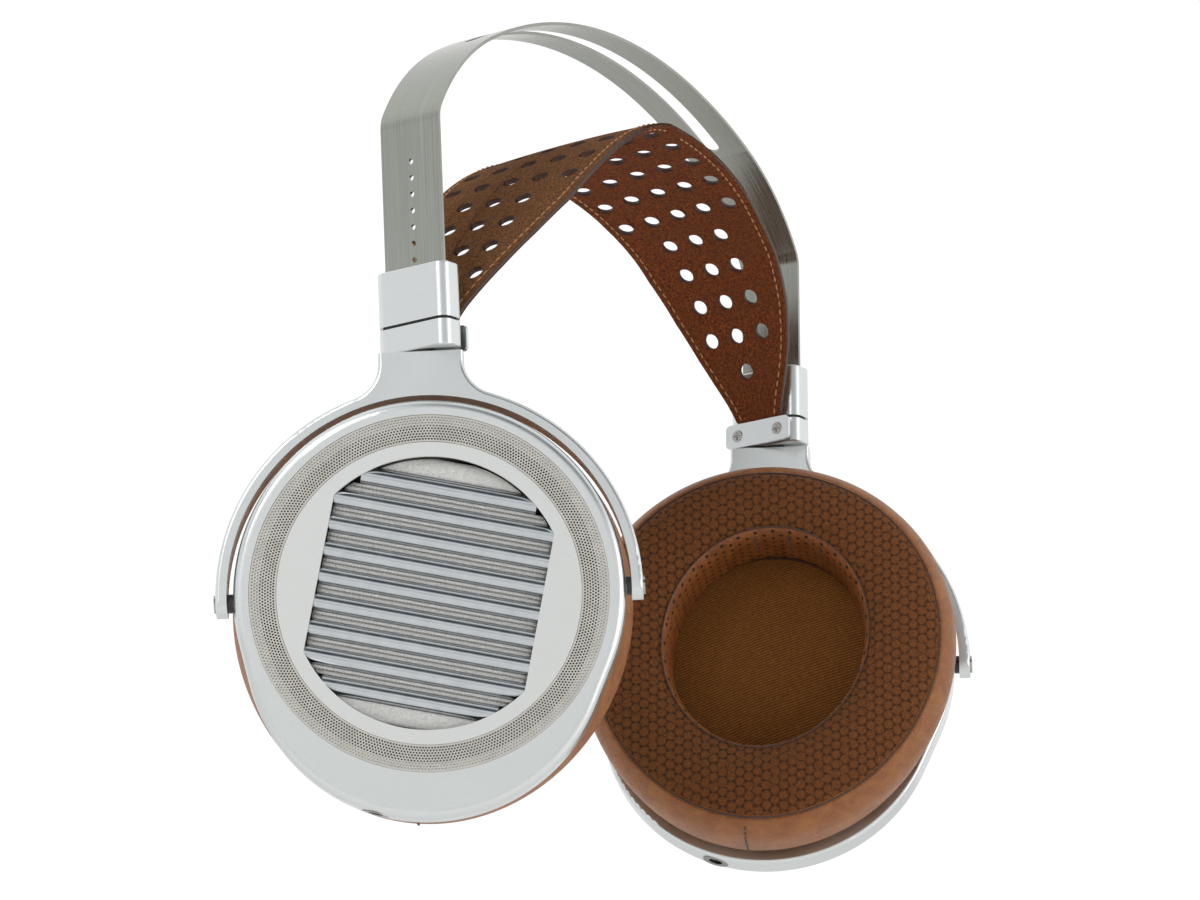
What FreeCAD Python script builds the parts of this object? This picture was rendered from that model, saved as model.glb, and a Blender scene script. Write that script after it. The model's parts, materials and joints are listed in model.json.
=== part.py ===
"""Open-back over-ear headphones with planar drivers, steel headband and suspension strap.

Frame: origin where the strap's underside meets the crown of the head, +X to the wearer's
right, +Y the way the wearer faces, +Z up. Millimetres. Every side piece is drawn for the
right side, with +X as its outward direction; the left side is its mirror image, standing at
its own slider, swivel and tilt settings.
"""
import FreeCAD, Part
import math
import os

V = FreeCAD.Vector
ORIGIN, X, Y, Z = V(0, 0, 0), V(1, 0, 0), V(0, 1, 0), V(0, 0, 1)

# ---------------------------------------------------------------- driving dimensions
# Steel band
band_width = 20.0
band_thickness = 0.9
shoulder_half_span = 90.0       # middle plane to the corner of the shoulder bend
crown_rise = 44.8               # shoulder corner up to the middle of the band's crown
leg_lean = 2.0                  # degrees, the legs close in towards the bottom
shoulder_heading = 62.0         # degrees above level, just past the shoulder bend
crown_heading = 30.0            # degrees above level, where side arc meets crown arc
shoulder_bend_radius = 9.0
leg_drop = 44.0                 # shoulder corner to the block's top at full extension
slot_width = 4.6
slot_land = 4.3                 # from each round end's middle to the end of the crown arc
detent_hole_radius = 0.8
detent_pitch = 4.7
detent_free_holes = 7           # holes above the block at full extension
click_depth = 2.2               # block's top down to the click spring's dome
engagement = 7.3                # band inside the block at full extension
tail_notch_width = 7.0
tail_notch_height = 2.0

# Suspension strap
strap_hang = 31.8               # strap's underside at the crown to the band's middle
strap_thickness = 1.5
strap_mid_width = 47.0
strap_end_width = 15.4
strap_tab_gap = 0.6             # tab's sides to the clamp screws it passes between
strap_end_handle = 0.24         # share of the height
strap_end_heading = 71.0        # degrees above level where it leaves the clamp
strap_points = 12               # spans of the strap's curve
strap_fit = 0.1

# Slider block, collar and clamp
block_side_wall = 1.75          # beside the band's slot
block_depth = 9.0
block_height = 15.6
block_corner = 3.0
block_edge = 0.5
block_gap = 0.8                 # spacer between block and collar
spacer_inset = 0.9
block_offset = 1.0              # block's middle stands this far inboard of the band
collar_height = 7.3
collar_floor = 2.0
clamp_thickness = 1.0
clamp_inset = 0.8               # plate's ends in from the block's sides
clamp_corner = 1.5
clamp_screw_spacing = 14.0
clamp_screw_radius = 0.9
clamp_screw_head_radius = 1.8
clamp_screw_tip = 0.35          # metal left between the screw's tip and the band's slot
click_spring_width = 5.0
click_spring_length = 8.0
click_spring_thickness = 0.3
click_dome_radius = 1.0
click_dip = 0.25                # dome into the hole
slide_fit = 0.12                # band in the block's slot, each side
band_side_fit = 0.15

# Swivel
swivel_gap = 0.5
swivel_washer_radius = 4.0
swivel_shaft_radius = 1.5
swivel_head_radius = 2.0
swivel_head_height = 1.3
swivel_grip = 7.0               # shaft length in the yoke
running_fit = 0.04
seat_fit = 0.02                 # parts fixed together in one body

# Yoke
yoke_depth = 8.0
yoke_stem_inset = 0.2           # stem's sides in from the collar's
yoke_neck = 9.3                 # stem's height above the arc
yoke_arm = 3.1                  # thickness of arc and arms
yoke_room = 1.7                 # cup shell to the arms
yoke_fillet = 10.0
yoke_edge_round = 1.1
pivot_radius = 1.5
pivot_head_radius = 2.5
pivot_head_height = 0.5
pivot_spacer_radius = 2.6
bush_radius = 2.5
bush_length = 3.6

# Cup shell and the driver in it
shell_radius = 53.2
chin_narrowing = 3.7            # chin's radius under the shell's
chin_offset = 12.0
chin_lean = 6.0                 # degrees forward
shell_face = 4.6                # outward of the pivot line
shell_back = 5.4                # inboard of the pivot line
shell_edge_round = 2.4
shell_back_round = 1.0
shell_wall = 7.2
ring_rim = 4.4                  # shell left outside the grille ring
ring_width = 7.3
ring_thickness = 0.8
ring_recess = 0.25
part_gap = 0.1                  # bench clearance between parts of one cup
plate_thickness = 1.2
plate_recess = 0.35
plate_border = 4.1              # plate left outside the opening
opening_half_width = 30.4
detail_lean = 13.0              # degrees, driver pattern forward of straight down
bar_count = 9
bar_margin = 8.32               # outermost bars' middles to the opening's edge
bar_space = 2.27                # between neighbouring bars
bar_seat = 2.4                  # bar ends run this far under the plate
wire_guard_radius = 0.4
frame_floor = 1.5
frame_rib_width = 3.8
fleece_thickness = 0.25
film_thickness = 0.1
film_rim = 9.0
film_groove = 2.0               # film's edge into its frame
baffle_inset = 2.8              # baffle's edge in from the shell's
baffle_thickness = 1.4
baffle_rim = 11.0               # baffle's overhang inside the cavity
driver_screw_radius = 0.9
driver_screw_head_radius = 1.6
driver_screw_head_height = 0.9
driver_screw_length = 4.5
driver_screw_count = 6

# Ear pad
pad_ring_inset = 1.8            # ring's edge in from the shell's
pad_ring_thickness = 1.6
pad_base_grip = 0.4             # leather wrapped over the ring's edge
pad_waist_depth = 5.0           # narrow stretch that clears the yoke when the cup tilts
pad_bulge = 2.2                 # widest place, out from the shell's edge
pad_bulge_depth = 12.0          # bulge's widest place, behind the face
pad_opening_width = 57.0
pad_opening_height = 65.0
pad_thickness = 21.5
pad_face_inset = 6.5            # the face starts to round off this far in from the bulge
pad_chin = 5.0                  # the outline's lower half stands this far down
pad_inner_round = 5.0
cloth_inset = 1.0               # cloth's edge in from the baffle's bore
cloth_thickness = 0.5

# Socket and leads
jack_radius = 1.78
jack_depth = 10.0
jack_lean = 16.0                # degrees forward
jack_wall = 1.32
jack_body_length = 12.5
jack_bezel_lip = 0.7            # bezel's edge beyond the socket's body
jack_bezel_thickness = 0.9
lead_radius = 0.45
lead_channel_radius = 1.4

# How each side stands at rest: clicks up from full extension, swivel and tilt in degrees,
# and the share of the half span that the strap holds nearly level from its crown
side_rest = {
    "right": {"clicks": 2, "swivel": 29.0, "tilt": 5.6, "strap_reach": 0.80},
    "left": {"clicks": 0, "swivel": -34.0, "tilt": 4.0, "strap_reach": 0.40},
}

# ---------------------------------------------------------------- derived sizes
tail_width = band_width + 2 * band_side_fit
block_width = tail_width + 2 * block_side_wall
strap_tab_width = clamp_screw_spacing - 2 * (clamp_screw_radius + strap_tab_gap)
yoke_stem_width = block_width - 2 * yoke_stem_inset
yoke_inner_radius = shell_radius + yoke_room
yoke_outer_radius = yoke_inner_radius + yoke_arm
yoke_drop = yoke_outer_radius + yoke_neck
chin_radius = shell_radius - chin_narrowing
cavity_radius = shell_radius - shell_wall
ring_radius = shell_radius - ring_rim
ring_inner_radius = ring_radius - ring_width
opening_radius = ring_inner_radius - plate_border
bar_pitch = 2 * (opening_radius - bar_margin) / (bar_count - 1)
bar_radius = (bar_pitch - bar_space) / 2
film_bore = cavity_radius - film_rim
baffle_radius = shell_radius - baffle_inset
baffle_bore = cavity_radius - baffle_rim
pad_ring_radius = shell_radius - pad_ring_inset
pad_base_radius = pad_ring_radius + pad_base_grip
pad_bulge_radius = shell_radius + pad_bulge
pad_face_radius = pad_bulge_radius - pad_face_inset
cloth_radius = baffle_bore - cloth_inset
jack_body_radius = jack_radius + jack_wall
jack_bezel_radius = jack_body_radius + jack_bezel_lip

# ---------------------------------------------------------------- derived places
shoulder_z = strap_hang - crown_rise
leg_heading = 90 + leg_lean
collar_bottom = swivel_gap
collar_top = collar_bottom + collar_height
block_bottom = collar_top + block_gap
block_top = block_bottom + block_height
block_inner = -block_offset - block_depth / 2
block_outer = block_inner + block_depth
clamp_front = block_inner - strap_thickness - 2 * strap_fit
clamp_back = clamp_front - clamp_thickness
strap_middle = (clamp_front + block_inner) / 2
screw_z = (collar_bottom + collar_top) / 2
slot_back = -band_thickness / 2 - slide_fit
slot_front = band_thickness / 2 + slide_fit
ring_front = shell_face - ring_recess
ring_back = ring_front - ring_thickness
plate_front = shell_face - plate_recess
plate_back = plate_front - plate_thickness
bar_x = plate_back - part_gap - bar_radius
floor_front = bar_x - bar_radius - seat_fit
floor_back = floor_front - frame_floor
fleece_front = floor_back - part_gap
fleece_back = fleece_front - fleece_thickness
film_frame_front = fleece_back - part_gap
film_frame_back = -shell_back + seat_fit
baffle_front = -shell_back - seat_fit
baffle_back = baffle_front - baffle_thickness
pad_ring_front = baffle_back - part_gap
pad_ring_back = pad_ring_front - pad_ring_thickness
pad_front = pad_ring_back - part_gap
pad_face = pad_front - pad_thickness
jack_x = (shell_face - shell_back) / 2


# ---------------------------------------------------------------- shape helpers
def cylinder(radius, base, direction, length):
    return Part.makeCylinder(radius, length, base, direction)


def disc(radius, x0, x1):
    """Disc about the X axis from x0 to x1."""
    return cylinder(radius, V(x0, 0, 0), X, x1 - x0)


def ring(outer, inner, x0, x1):
    return disc(outer, x0, x1).cut(disc(inner, x0 - 1, x1 + 1))


def box(x0, x1, y0, y1, z0, z1):
    return Part.makeBox(x1 - x0, y1 - y0, z1 - z0, V(x0, y0, z0))


def upright_edges(shape):
    return [e for e in shape.Edges if abs(e.Vertexes[0].Z - e.Vertexes[-1].Z) > 1e-6]


def level_edges(shape, z):
    return [e for e in shape.Edges if all(abs(v.Z - z) < 1e-6 for v in e.Vertexes)]


def edges_at_x(shape, x):
    return [e for e in shape.Edges if all(abs(v.X - x) < 1e-6 for v in e.Vertexes)]


def block_prism(z0, z1, inset=0.0):
    """Upright prism with the block's rounded outline."""
    prism = box(block_inner + inset, block_outer - inset,
                inset - block_width / 2, block_width / 2 - inset, z0, z1)
    return prism.makeFillet(block_corner - inset, upright_edges(prism))


def turned(shape, angle, axis, centre=ORIGIN):
    out = shape.copy()
    out.rotate(centre, axis, angle)
    return out


def moved(shape, offset):
    out = shape.copy()
    out.translate(offset)
    return out


def group(shapes):
    return Part.makeCompound(shapes)


# ---------------------------------------------------------------- headband
def along(degrees):
    """Direction of travel up the right half of the band, degrees above level."""
    a = math.radians(degrees)
    return V(-math.cos(a), 0, math.sin(a))


def outward(degrees):
    """Outward normal of the band where it travels at this angle."""
    a = math.radians(degrees)
    return V(math.sin(a), 0, math.cos(a))


def shoulder_corner():
    return V(shoulder_half_span, 0, shoulder_z)


def shoulder_run():
    """Length from the shoulder corner to each end of the bend."""
    return shoulder_bend_radius * math.tan(math.radians(leg_heading - shoulder_heading) / 2)


def arch_radii():
    """Side and crown radii that carry the band from the shoulder bend to the crown."""
    start = shoulder_corner() + along(shoulder_heading) * shoulder_run()
    a, b = math.radians(shoulder_heading), math.radians(crown_heading)
    x_side, x_crown = math.sin(a) - math.sin(b), math.sin(b)
    z_side, z_crown = math.cos(b) - math.cos(a), 1 - math.cos(b)
    rise = strap_hang - start.z
    det = x_side * z_crown - x_crown * z_side
    side = (start.x * z_crown - x_crown * rise) / det
    crown = (x_side * rise - start.x * z_side) / det
    return side, crown


def band_arcs():
    """Centre, radius and headings of the three arcs of the band's right half."""
    side, crown = arch_radii()
    crown_centre = V(0, 0, strap_hang - crown)
    join = crown_centre + outward(crown_heading) * crown
    side_centre = join - outward(crown_heading) * side
    bend_end = shoulder_corner() + along(shoulder_heading) * shoulder_run()
    bend_centre = bend_end - outward(shoulder_heading) * shoulder_bend_radius
    return [
        (bend_centre, shoulder_bend_radius, leg_heading, shoulder_heading),
        (side_centre, side, shoulder_heading, crown_heading),
        (crown_centre, crown, crown_heading, 0.0),
    ]


def band_rim(offset, side):
    """Edges of one half of the band's line, moved outward by offset; side is 1 or -1."""
    def flip(p):
        return V(side * p.x, p.y, p.z)

    corner = shoulder_corner()
    lift = outward(leg_heading) * offset
    tail = corner - along(leg_heading) * (leg_drop + engagement) + lift
    leg_top = corner - along(leg_heading) * shoulder_run() + lift
    edges = [Part.makeLine(flip(tail), flip(leg_top))]
    for centre, radius, h0, h1 in band_arcs():
        points = [flip(centre + outward(h) * (radius + offset)) for h in (h0, (h0 + h1) / 2, h1)]
        edges.append(Part.Arc(*points).toShape())
    return edges


def tail_end(offset, side):
    corner = shoulder_corner()
    p = corner - along(leg_heading) * (leg_drop + engagement) + outward(leg_heading) * offset
    return V(side * p.x, p.y, p.z)


def band_slot():
    """Long central slot over the crown, with round ends."""
    _, crown = arch_radii()
    half_span = crown * math.sin(math.radians(crown_heading)) - slot_land
    slot_angle = math.degrees(math.asin(half_span / crown))
    centre = V(0, 0, strap_hang - crown)
    reach = 3 * band_thickness
    wedge = Part.makeCylinder(crown + reach, slot_width, centre - Y * (slot_width / 2), Y)
    wedge = wedge.cut(Part.makeCylinder(crown - reach, slot_width, centre - Y * (slot_width / 2), Y))
    far = outward(slot_angle) * (2 * crown)
    near = V(-far.x, 0, far.z)
    sector = Part.Face(Part.makePolygon([centre, centre + far, centre + near, centre]))
    sector = moved(sector.extrude(Y * band_width), Y * (-band_width / 2))
    cutter = wedge.common(sector)
    for sign in (-1, 1):
        axis = outward(slot_angle)
        axis = V(sign * axis.x, 0, axis.z)
        base = centre + axis * (crown - reach)
        cutter = cutter.fuse(cylinder(slot_width / 2, base, axis, 2 * reach))
    return cutter


def headband_strip():
    """Spring-steel band: two legs with detent holes, shoulder bends, arch with a slot."""
    half = band_thickness / 2
    edges = band_rim(half, 1) + band_rim(half, -1) + band_rim(-half, 1) + band_rim(-half, -1)
    edges += [Part.makeLine(tail_end(half, s), tail_end(-half, s)) for s in (1, -1)]
    face = Part.Face(Part.Wire(Part.__sortEdges__(edges)))
    strip = moved(face.extrude(Y * band_width), Y * (-band_width / 2))
    strip = strip.cut(band_slot())
    corner = shoulder_corner()
    cuts = []
    for k in range(detent_free_holes + 1):
        drop = leg_drop + click_depth - k * detent_pitch
        base = corner - along(leg_heading) * drop - outward(leg_heading) * 2
        cuts.append(cylinder(detent_hole_radius, base, outward(leg_heading), 4))
    notch = box(-2, 2, -tail_notch_width / 2, tail_notch_width / 2, -1, tail_notch_height)
    notch = turned(notch, leg_lean, Y)
    cuts.append(moved(notch, tail_end(0, 1)))
    for cut in cuts:
        strip = strip.cut(cut).cut(cut.mirror(ORIGIN, X))
    return strip


def strap_outline(side_name):
    """Half of the strap's middle line: crown point, its handles and the clamp's mouth."""
    seat = slider_point(side_name, V(strap_middle, 0, collar_top))
    crown = V(0, 0, strap_thickness / 2)
    rise = crown.z - seat.z
    first = crown + X * (seat.x * side_rest[side_name]["strap_reach"])
    second = seat + along(strap_end_heading) * (rise * strap_end_handle)
    return crown, first, second, seat


def strap_half(side_name):
    """Right-hand half of the suede strap, from the crown to its tab under the clamp."""
    crown, first, second, seat = strap_outline(side_name)
    curve = Part.BezierCurve()
    curve.setPoles([crown, first, second, seat])
    rims = []
    for offset in (strap_thickness / 2, -strap_thickness / 2):
        points = []
        for k in range(strap_points + 1):
            tangent = curve.tangent(k / strap_points)[0]
            normal = V(-tangent.z, 0, tangent.x)
            points.append(curve.value(k / strap_points) + normal * offset)
        rim = Part.BSplineCurve()
        rim.interpolate(points)
        rims.append((rim.toShape(), points))
    down = along(leg_heading) * -(collar_height - collar_floor / 2)
    corners = [rims[0][1][-1], rims[0][1][-1] + down, rims[1][1][-1] + down, rims[1][1][-1]]
    edges = [rims[0][0], rims[1][0], Part.makeLine(rims[0][1][0], rims[1][1][0])]
    edges += [Part.makeLine(a, b) for a, b in zip(corners, corners[1:])]
    face = Part.Face(Part.Wire(Part.__sortEdges__(edges)))
    sheet = moved(face.extrude(Y * strap_mid_width), Y * (-strap_mid_width / 2))
    return sheet.common(strap_plan(seat, (corners[1] + corners[2]) * 0.5))


def strap_plan(seat, tip):
    """Solid whose outline, seen from the side, is the strap's width from top to tab."""
    top, end, tab = strap_mid_width / 2, strap_end_width / 2, strap_tab_width / 2
    mouth = seat.z + (block_gap + 0.4)
    high = strap_thickness + 1
    side = Part.BezierCurve()
    side.setPoles([V(-1, top, high), V(-1, top * 0.92, seat.z * 0.45),
                   V(-1, end * 1.45, seat.z * 0.80), V(-1, end, mouth)])
    other = Part.BezierCurve()
    other.setPoles([V(p.x, -p.y, p.z) for p in side.getPoles()])
    low = tip.z - 1
    right = [V(-1, end, mouth), V(-1, tab, mouth - 0.3), V(-1, tab, low)]
    left = [V(p.x, -p.y, p.z) for p in right]
    edges = [side.toShape(), other.toShape()]
    edges += [Part.makeLine(a, b) for a, b in zip(right, right[1:])]
    edges += [Part.makeLine(a, b) for a, b in zip(left, left[1:])]
    edges += [Part.makeLine(right[-1], left[-1])]
    edges += [Part.makeLine(V(-1, top, high), V(-1, -top, high))]
    face = Part.Face(Part.Wire(Part.__sortEdges__(edges)))
    return face.extrude(X * (2 * shoulder_half_span))


def suspension_strap():
    right = strap_half("right")
    left = strap_half("left").mirror(ORIGIN, X)
    return right.fuse(left).removeSplitter()


# ---------------------------------------------------------------- slider pieces
def slider_block():
    """Aluminium block that slides on the band; the leg passes down through its slot."""
    block = block_prism(block_bottom, block_top)
    block = block.makeFillet(block_edge, level_edges(block, block_top))
    slot = box(slot_back, slot_front, -tail_width / 2, tail_width / 2, block_bottom - 1, block_top + 1)
    block = block.cut(slot)
    return block.cut(spring_pocket())


def spring_pocket():
    half = click_spring_width / 2 + part_gap
    top = block_top - click_depth + click_spring_length / 2
    low = top - click_spring_length
    roof = block_top - 0.9
    return box(spring_back() - part_gap, slot_back + 0.01, -half, half, low - part_gap, roof)


def spring_back():
    dome_centre = -band_thickness / 2 + click_dip - click_dome_radius
    return dome_centre - click_spring_thickness - 0.7


def click_spring():
    """Leaf spring with a round dome that drops into the detent holes."""
    dome_centre = -band_thickness / 2 + click_dip - click_dome_radius
    low = block_top - click_depth - click_spring_length / 2
    roof = block_top - 0.9 - part_gap
    half = click_spring_width / 2
    leaf = box(dome_centre - click_spring_thickness, dome_centre, -half, half, low, roof)
    dome_z = block_top - click_depth
    dome = Part.makeSphere(click_dome_radius, V(dome_centre, 0, dome_z))
    dome = dome.common(box(dome_centre - 0.01, 5, -5, 5, low, roof))
    foot = box(spring_back(), dome_centre, -half, half, low, low + 0.8)
    return leaf.fuse(dome).fuse(foot).removeSplitter()


def block_spacer():
    """Black spacer that leaves the dark line between block and collar."""
    spacer = block_prism(collar_top, block_bottom, spacer_inset)
    slot = box(slot_back, slot_front, -tail_width / 2, tail_width / 2, collar_top - 1, block_bottom + 1)
    bore = cylinder(swivel_head_radius + 0.2, V(-block_offset, 0, collar_top - 1), Z, 3)
    return spacer.cut(slot).cut(bore)


def collar():
    """Aluminium collar below the block: carries the swivel and the strap's clamp."""
    body = block_prism(collar_bottom, collar_top)
    body = body.makeChamfer(0.3, level_edges(body, collar_bottom))
    slot_floor = collar_bottom + collar_floor
    slot = box(slot_back, slot_front, -tail_width / 2, tail_width / 2, slot_floor, collar_top + 1)
    axis = V(-block_offset, 0, 0)
    head_bore = cylinder(swivel_head_radius + 0.15, axis + Z * slot_floor, Z, collar_height)
    shaft_bore = cylinder(swivel_shaft_radius + running_fit, axis, Z, collar_height)
    body = body.cut(slot).cut(head_bore).cut(shaft_bore)
    for side in (-1, 1):
        body = body.cut(clamp_screw(side, seat_fit))
    return body


def clamp_screw(side, grow=0.0):
    """Countersunk screw through the clamp plate into the collar, recess left to the head."""
    start = V(clamp_back, side * clamp_screw_spacing / 2, screw_z)
    length = slot_back - clamp_screw_tip - clamp_back
    shaft = cylinder(clamp_screw_radius + grow, start, X, length + grow)
    cone = Part.makeCone(clamp_screw_head_radius + grow, clamp_screw_radius + grow,
                         clamp_screw_head_radius - clamp_screw_radius, start, X)
    return shaft.fuse(cone)


def clamp_screws():
    return group([clamp_screw(-1), clamp_screw(1)])


def clamp_plate():
    """Plate on the inboard side that holds the strap's tab against the collar."""
    half = block_width / 2 - clamp_inset
    body = box(clamp_back, clamp_front, -half, half, collar_bottom, collar_top)
    body = body.makeFillet(clamp_corner, [e for e in body.Edges if e.Length < 2 * clamp_thickness])
    for side in (-1, 1):
        body = body.cut(clamp_screw(side, seat_fit))
    return body


def swivel_washer():
    base = V(-block_offset, 0, running_fit)
    height = swivel_gap - 2 * running_fit
    outer = cylinder(swivel_washer_radius, base, Z, height)
    return outer.cut(cylinder(swivel_shaft_radius + running_fit, base, Z, height))


# ---------------------------------------------------------------- yoke pieces
def swivel_screw():
    """Shoulder screw: head above the collar's floor, thread in the yoke's stem."""
    top = collar_bottom + collar_floor + running_fit
    shaft = cylinder(swivel_shaft_radius, V(0, 0, -swivel_grip), Z, swivel_grip + top)
    head = cylinder(swivel_head_radius, V(0, 0, top), Z, swivel_head_height)
    return shaft.fuse(head).removeSplitter()


def yoke_face():
    """Outline of stem and arc, seen from outside."""
    centre = V(0, 0, -yoke_drop)
    half = yoke_stem_width / 2
    reach = yoke_outer_radius + yoke_fillet
    side = half + yoke_fillet
    rise = math.sqrt(reach ** 2 - side ** 2)
    touch = centre + V(0, side, rise) * (yoke_outer_radius / reach)
    flare = centre + V(0, side, rise)
    mid = V(0, half - side, 0) + (touch - flare)
    mid.normalize()
    points = [flare + V(0, -yoke_fillet, 0), flare + mid * yoke_fillet, touch]
    low = centre + V(0, 0, -yoke_outer_radius)
    edges = [Part.makeLine(V(0, -half, 0), V(0, half, 0))]
    for s in (-1, 1):
        p = [V(0, s * q.y, q.z) for q in points]
        edges.append(Part.makeLine(V(0, s * half, 0), p[0]))
        edges.append(Part.Arc(*p).toShape())
        around = centre + V(0, s * yoke_outer_radius, 0)
        edges.append(Part.Arc(p[2], around, low).toShape())
    return Part.Face(Part.Wire(Part.__sortEdges__(edges)))


def yoke():
    """Aluminium yoke: stem, arc round the cup and two arms with round ends."""
    body = moved(yoke_face().extrude(X * yoke_depth), X * (-yoke_depth / 2))
    outer = [e for e in edges_at_x(body, -yoke_depth / 2) + edges_at_x(body, yoke_depth / 2)
             if max(v.Z for v in e.Vertexes) < -0.01 or e.Length < 5]
    body = body.makeFillet(yoke_edge_round, outer)
    centre = V(-yoke_depth, 0, -yoke_drop)
    body = body.cut(cylinder(yoke_inner_radius, centre, X, 2 * yoke_depth))
    wide = 2 * yoke_outer_radius
    keep = box(-yoke_depth, yoke_depth, -wide, wide, -yoke_drop, 1)
    keep = keep.fuse(cylinder(yoke_depth / 2, V(0, -wide, -yoke_drop), Y, 2 * wide))
    body = body.common(keep)
    body = body.cut(cylinder(swivel_shaft_radius + seat_fit, V(0, 0, -swivel_grip - 0.2), Z, 20))
    for s in (-1, 1):
        start = V(0, s * yoke_inner_radius / 2, -yoke_drop)
        body = body.cut(cylinder(pivot_radius + seat_fit, start, Y * s, wide))
    return body


def pivot_pin(side):
    """Steel pin with a low head outside the arm."""
    tip = shell_radius - bush_length + 0.3
    length = yoke_outer_radius - tip
    shaft = cylinder(pivot_radius, V(0, side * tip, -yoke_drop), Y * side, length)
    head = cylinder(pivot_head_radius, V(0, side * yoke_outer_radius, -yoke_drop), Y * side,
                    pivot_head_height)
    return shaft.fuse(head).removeSplitter()


def pivot_pins():
    return group([pivot_pin(-1), pivot_pin(1)])


def pivot_spacers():
    """Steel collars that keep the cup midway between the arms."""
    out = []
    for s in (-1, 1):
        base = V(0, s * (shell_radius + 0.15), -yoke_drop)
        length = yoke_inner_radius - shell_radius - 0.25
        outer = cylinder(pivot_spacer_radius, base, Y * s, length)
        out.append(outer.cut(cylinder(pivot_radius + seat_fit, base, Y * s, length)))
    return group(out)


# ---------------------------------------------------------------- cup pieces
def cup_outline():
    """Round at the top, drawn out to a chin at the bottom."""
    sin_t = (shell_radius - chin_radius) / chin_offset
    cos_t = math.sqrt(1 - sin_t ** 2)
    chin = V(0, 0, -chin_offset)
    edges = [Part.Arc(V(0, -shell_radius * cos_t, -shell_radius * sin_t), V(0, 0, shell_radius),
                      V(0, shell_radius * cos_t, -shell_radius * sin_t)).toShape(),
             Part.Arc(chin + V(0, -chin_radius * cos_t, -chin_radius * sin_t), chin - Z * chin_radius,
                      chin + V(0, chin_radius * cos_t, -chin_radius * sin_t)).toShape()]
    for s in (-1, 1):
        normal = V(0, s * cos_t, -sin_t)
        edges.append(Part.makeLine(normal * shell_radius, chin + normal * chin_radius))
    return Part.Face(Part.Wire(Part.__sortEdges__(edges)))


def cup_shell():
    """Machined aluminium shell with a chin, ring seat, bush bores and socket bore."""
    body = moved(cup_outline().extrude(X * (shell_face + shell_back)), X * -shell_back)
    body = body.makeFillet(shell_edge_round, edges_at_x(body, shell_face))
    body = body.makeFillet(shell_back_round, edges_at_x(body, -shell_back))
    body = turned(body, chin_lean, X)
    body = body.cut(disc(cavity_radius, -shell_back - 1, shell_face + 1))
    body = body.cut(disc(ring_radius + part_gap, ring_back - seat_fit, shell_face + 1))
    for s in (-1, 1):
        body = body.cut(cylinder(bush_radius + seat_fit, ORIGIN, Y * s, 2 * shell_radius))
    body = body.cut(cylinder(jack_body_radius + seat_fit, jack_point(jack_inner()), jack_axis(), 40))
    bezel = jack_point(jack_mouth() - jack_bezel_thickness)
    body = body.cut(cylinder(jack_bezel_radius + seat_fit, bezel, jack_axis(), 40))
    body = body.cut(lead_path(0, lead_channel_radius, -1.5))
    for place in driver_screw_places():
        body = body.cut(cylinder(driver_screw_radius + seat_fit, place - X * 2, X,
                                 driver_screw_length + 2.2))
    return body


def bush(side):
    base = V(0, side * (shell_radius - bush_length), 0)
    outer = cylinder(bush_radius, base, Y * side, bush_length)
    return outer.cut(cylinder(pivot_radius + running_fit, base, Y * side, bush_length))


def pivot_bushes():
    return group([bush(-1), bush(1)])


def grille_ring():
    return ring(ring_radius, ring_inner_radius, ring_back, ring_front)


def opening_prism(grow, x0, x1):
    """Round opening cut off straight at both ends of the bars."""
    body = disc(opening_radius + grow, x0, x1)
    half = opening_half_width + grow
    return body.common(box(x0, x1, -half, half, -2 * opening_radius, 2 * opening_radius))


def inner_plate():
    body = disc(ring_inner_radius - part_gap, plate_back, plate_front)
    body = body.cut(opening_prism(0, plate_back - 1, plate_front + 1))
    return turned(body, detail_lean, X)


def half_chord(z, clearance):
    """Half length of a straight piece at height z that fits the frame's pocket."""
    reach = opening_radius + bar_seat
    return min(opening_half_width + bar_seat, math.sqrt(reach ** 2 - (abs(z) + clearance) ** 2))


def rods(x, radius, heights):
    out = []
    for z in heights:
        half = half_chord(z, radius)
        out.append(turned(cylinder(radius, V(x, -half, z), Y, 2 * half), detail_lean, X))
    return group(out)


def bar_heights():
    return [(k - (bar_count - 1) / 2) * bar_pitch for k in range(bar_count)]


def gap_heights():
    heights = bar_heights()
    return [(a + b) / 2 for a, b in zip(heights, heights[1:])]


def magnet_bars():
    return rods(bar_x, bar_radius, bar_heights())


def guard_wires():
    return rods(bar_x - bar_radius / 2, wire_guard_radius, gap_heights())


def magnet_frame():
    """Tray that the bars lie in; its floor has a rib under each bar."""
    body = disc(cavity_radius - part_gap, floor_back, plate_back - seat_fit)
    body = body.cut(opening_prism(bar_seat + part_gap, floor_front, plate_back + 1))
    slot_half = (bar_pitch - frame_rib_width) / 2
    for z in gap_heights():
        half = half_chord(z, slot_half) - bar_seat
        body = body.cut(box(floor_back - 1, floor_front + 1, -half, half, z - slot_half, z + slot_half))
    ends = disc(opening_radius, floor_back - 1, floor_front + 1)
    inner = bar_heights()[-1] + bar_radius - 0.4
    ends = ends.cut(box(floor_back - 2, floor_front + 2, -60, 60, -inner, inner))
    return turned(body.cut(ends), detail_lean, X)


def fleece():
    return disc(opening_radius + 1.0, fleece_back, fleece_front)


def film_frame():
    body = ring(cavity_radius - part_gap, film_bore, film_frame_back, film_frame_front)
    middle = (film_frame_back + film_frame_front) / 2
    return body.cut(disc(film_bore + film_groove, middle - film_thickness, middle + film_thickness))


def driver_film():
    """Stretched film that carries the flat voice coil."""
    middle = (film_frame_back + film_frame_front) / 2
    radius = film_bore + film_groove - part_gap
    return disc(radius, middle - film_thickness / 2, middle + film_thickness / 2)


def driver_screw_places():
    radius = (cavity_radius + baffle_radius) / 2
    step = 360 / driver_screw_count
    places = []
    for k in range(driver_screw_count):
        a = math.radians(step * (k + 0.5))
        places.append(V(baffle_front, radius * math.cos(a), radius * math.sin(a)))
    return places


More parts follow.
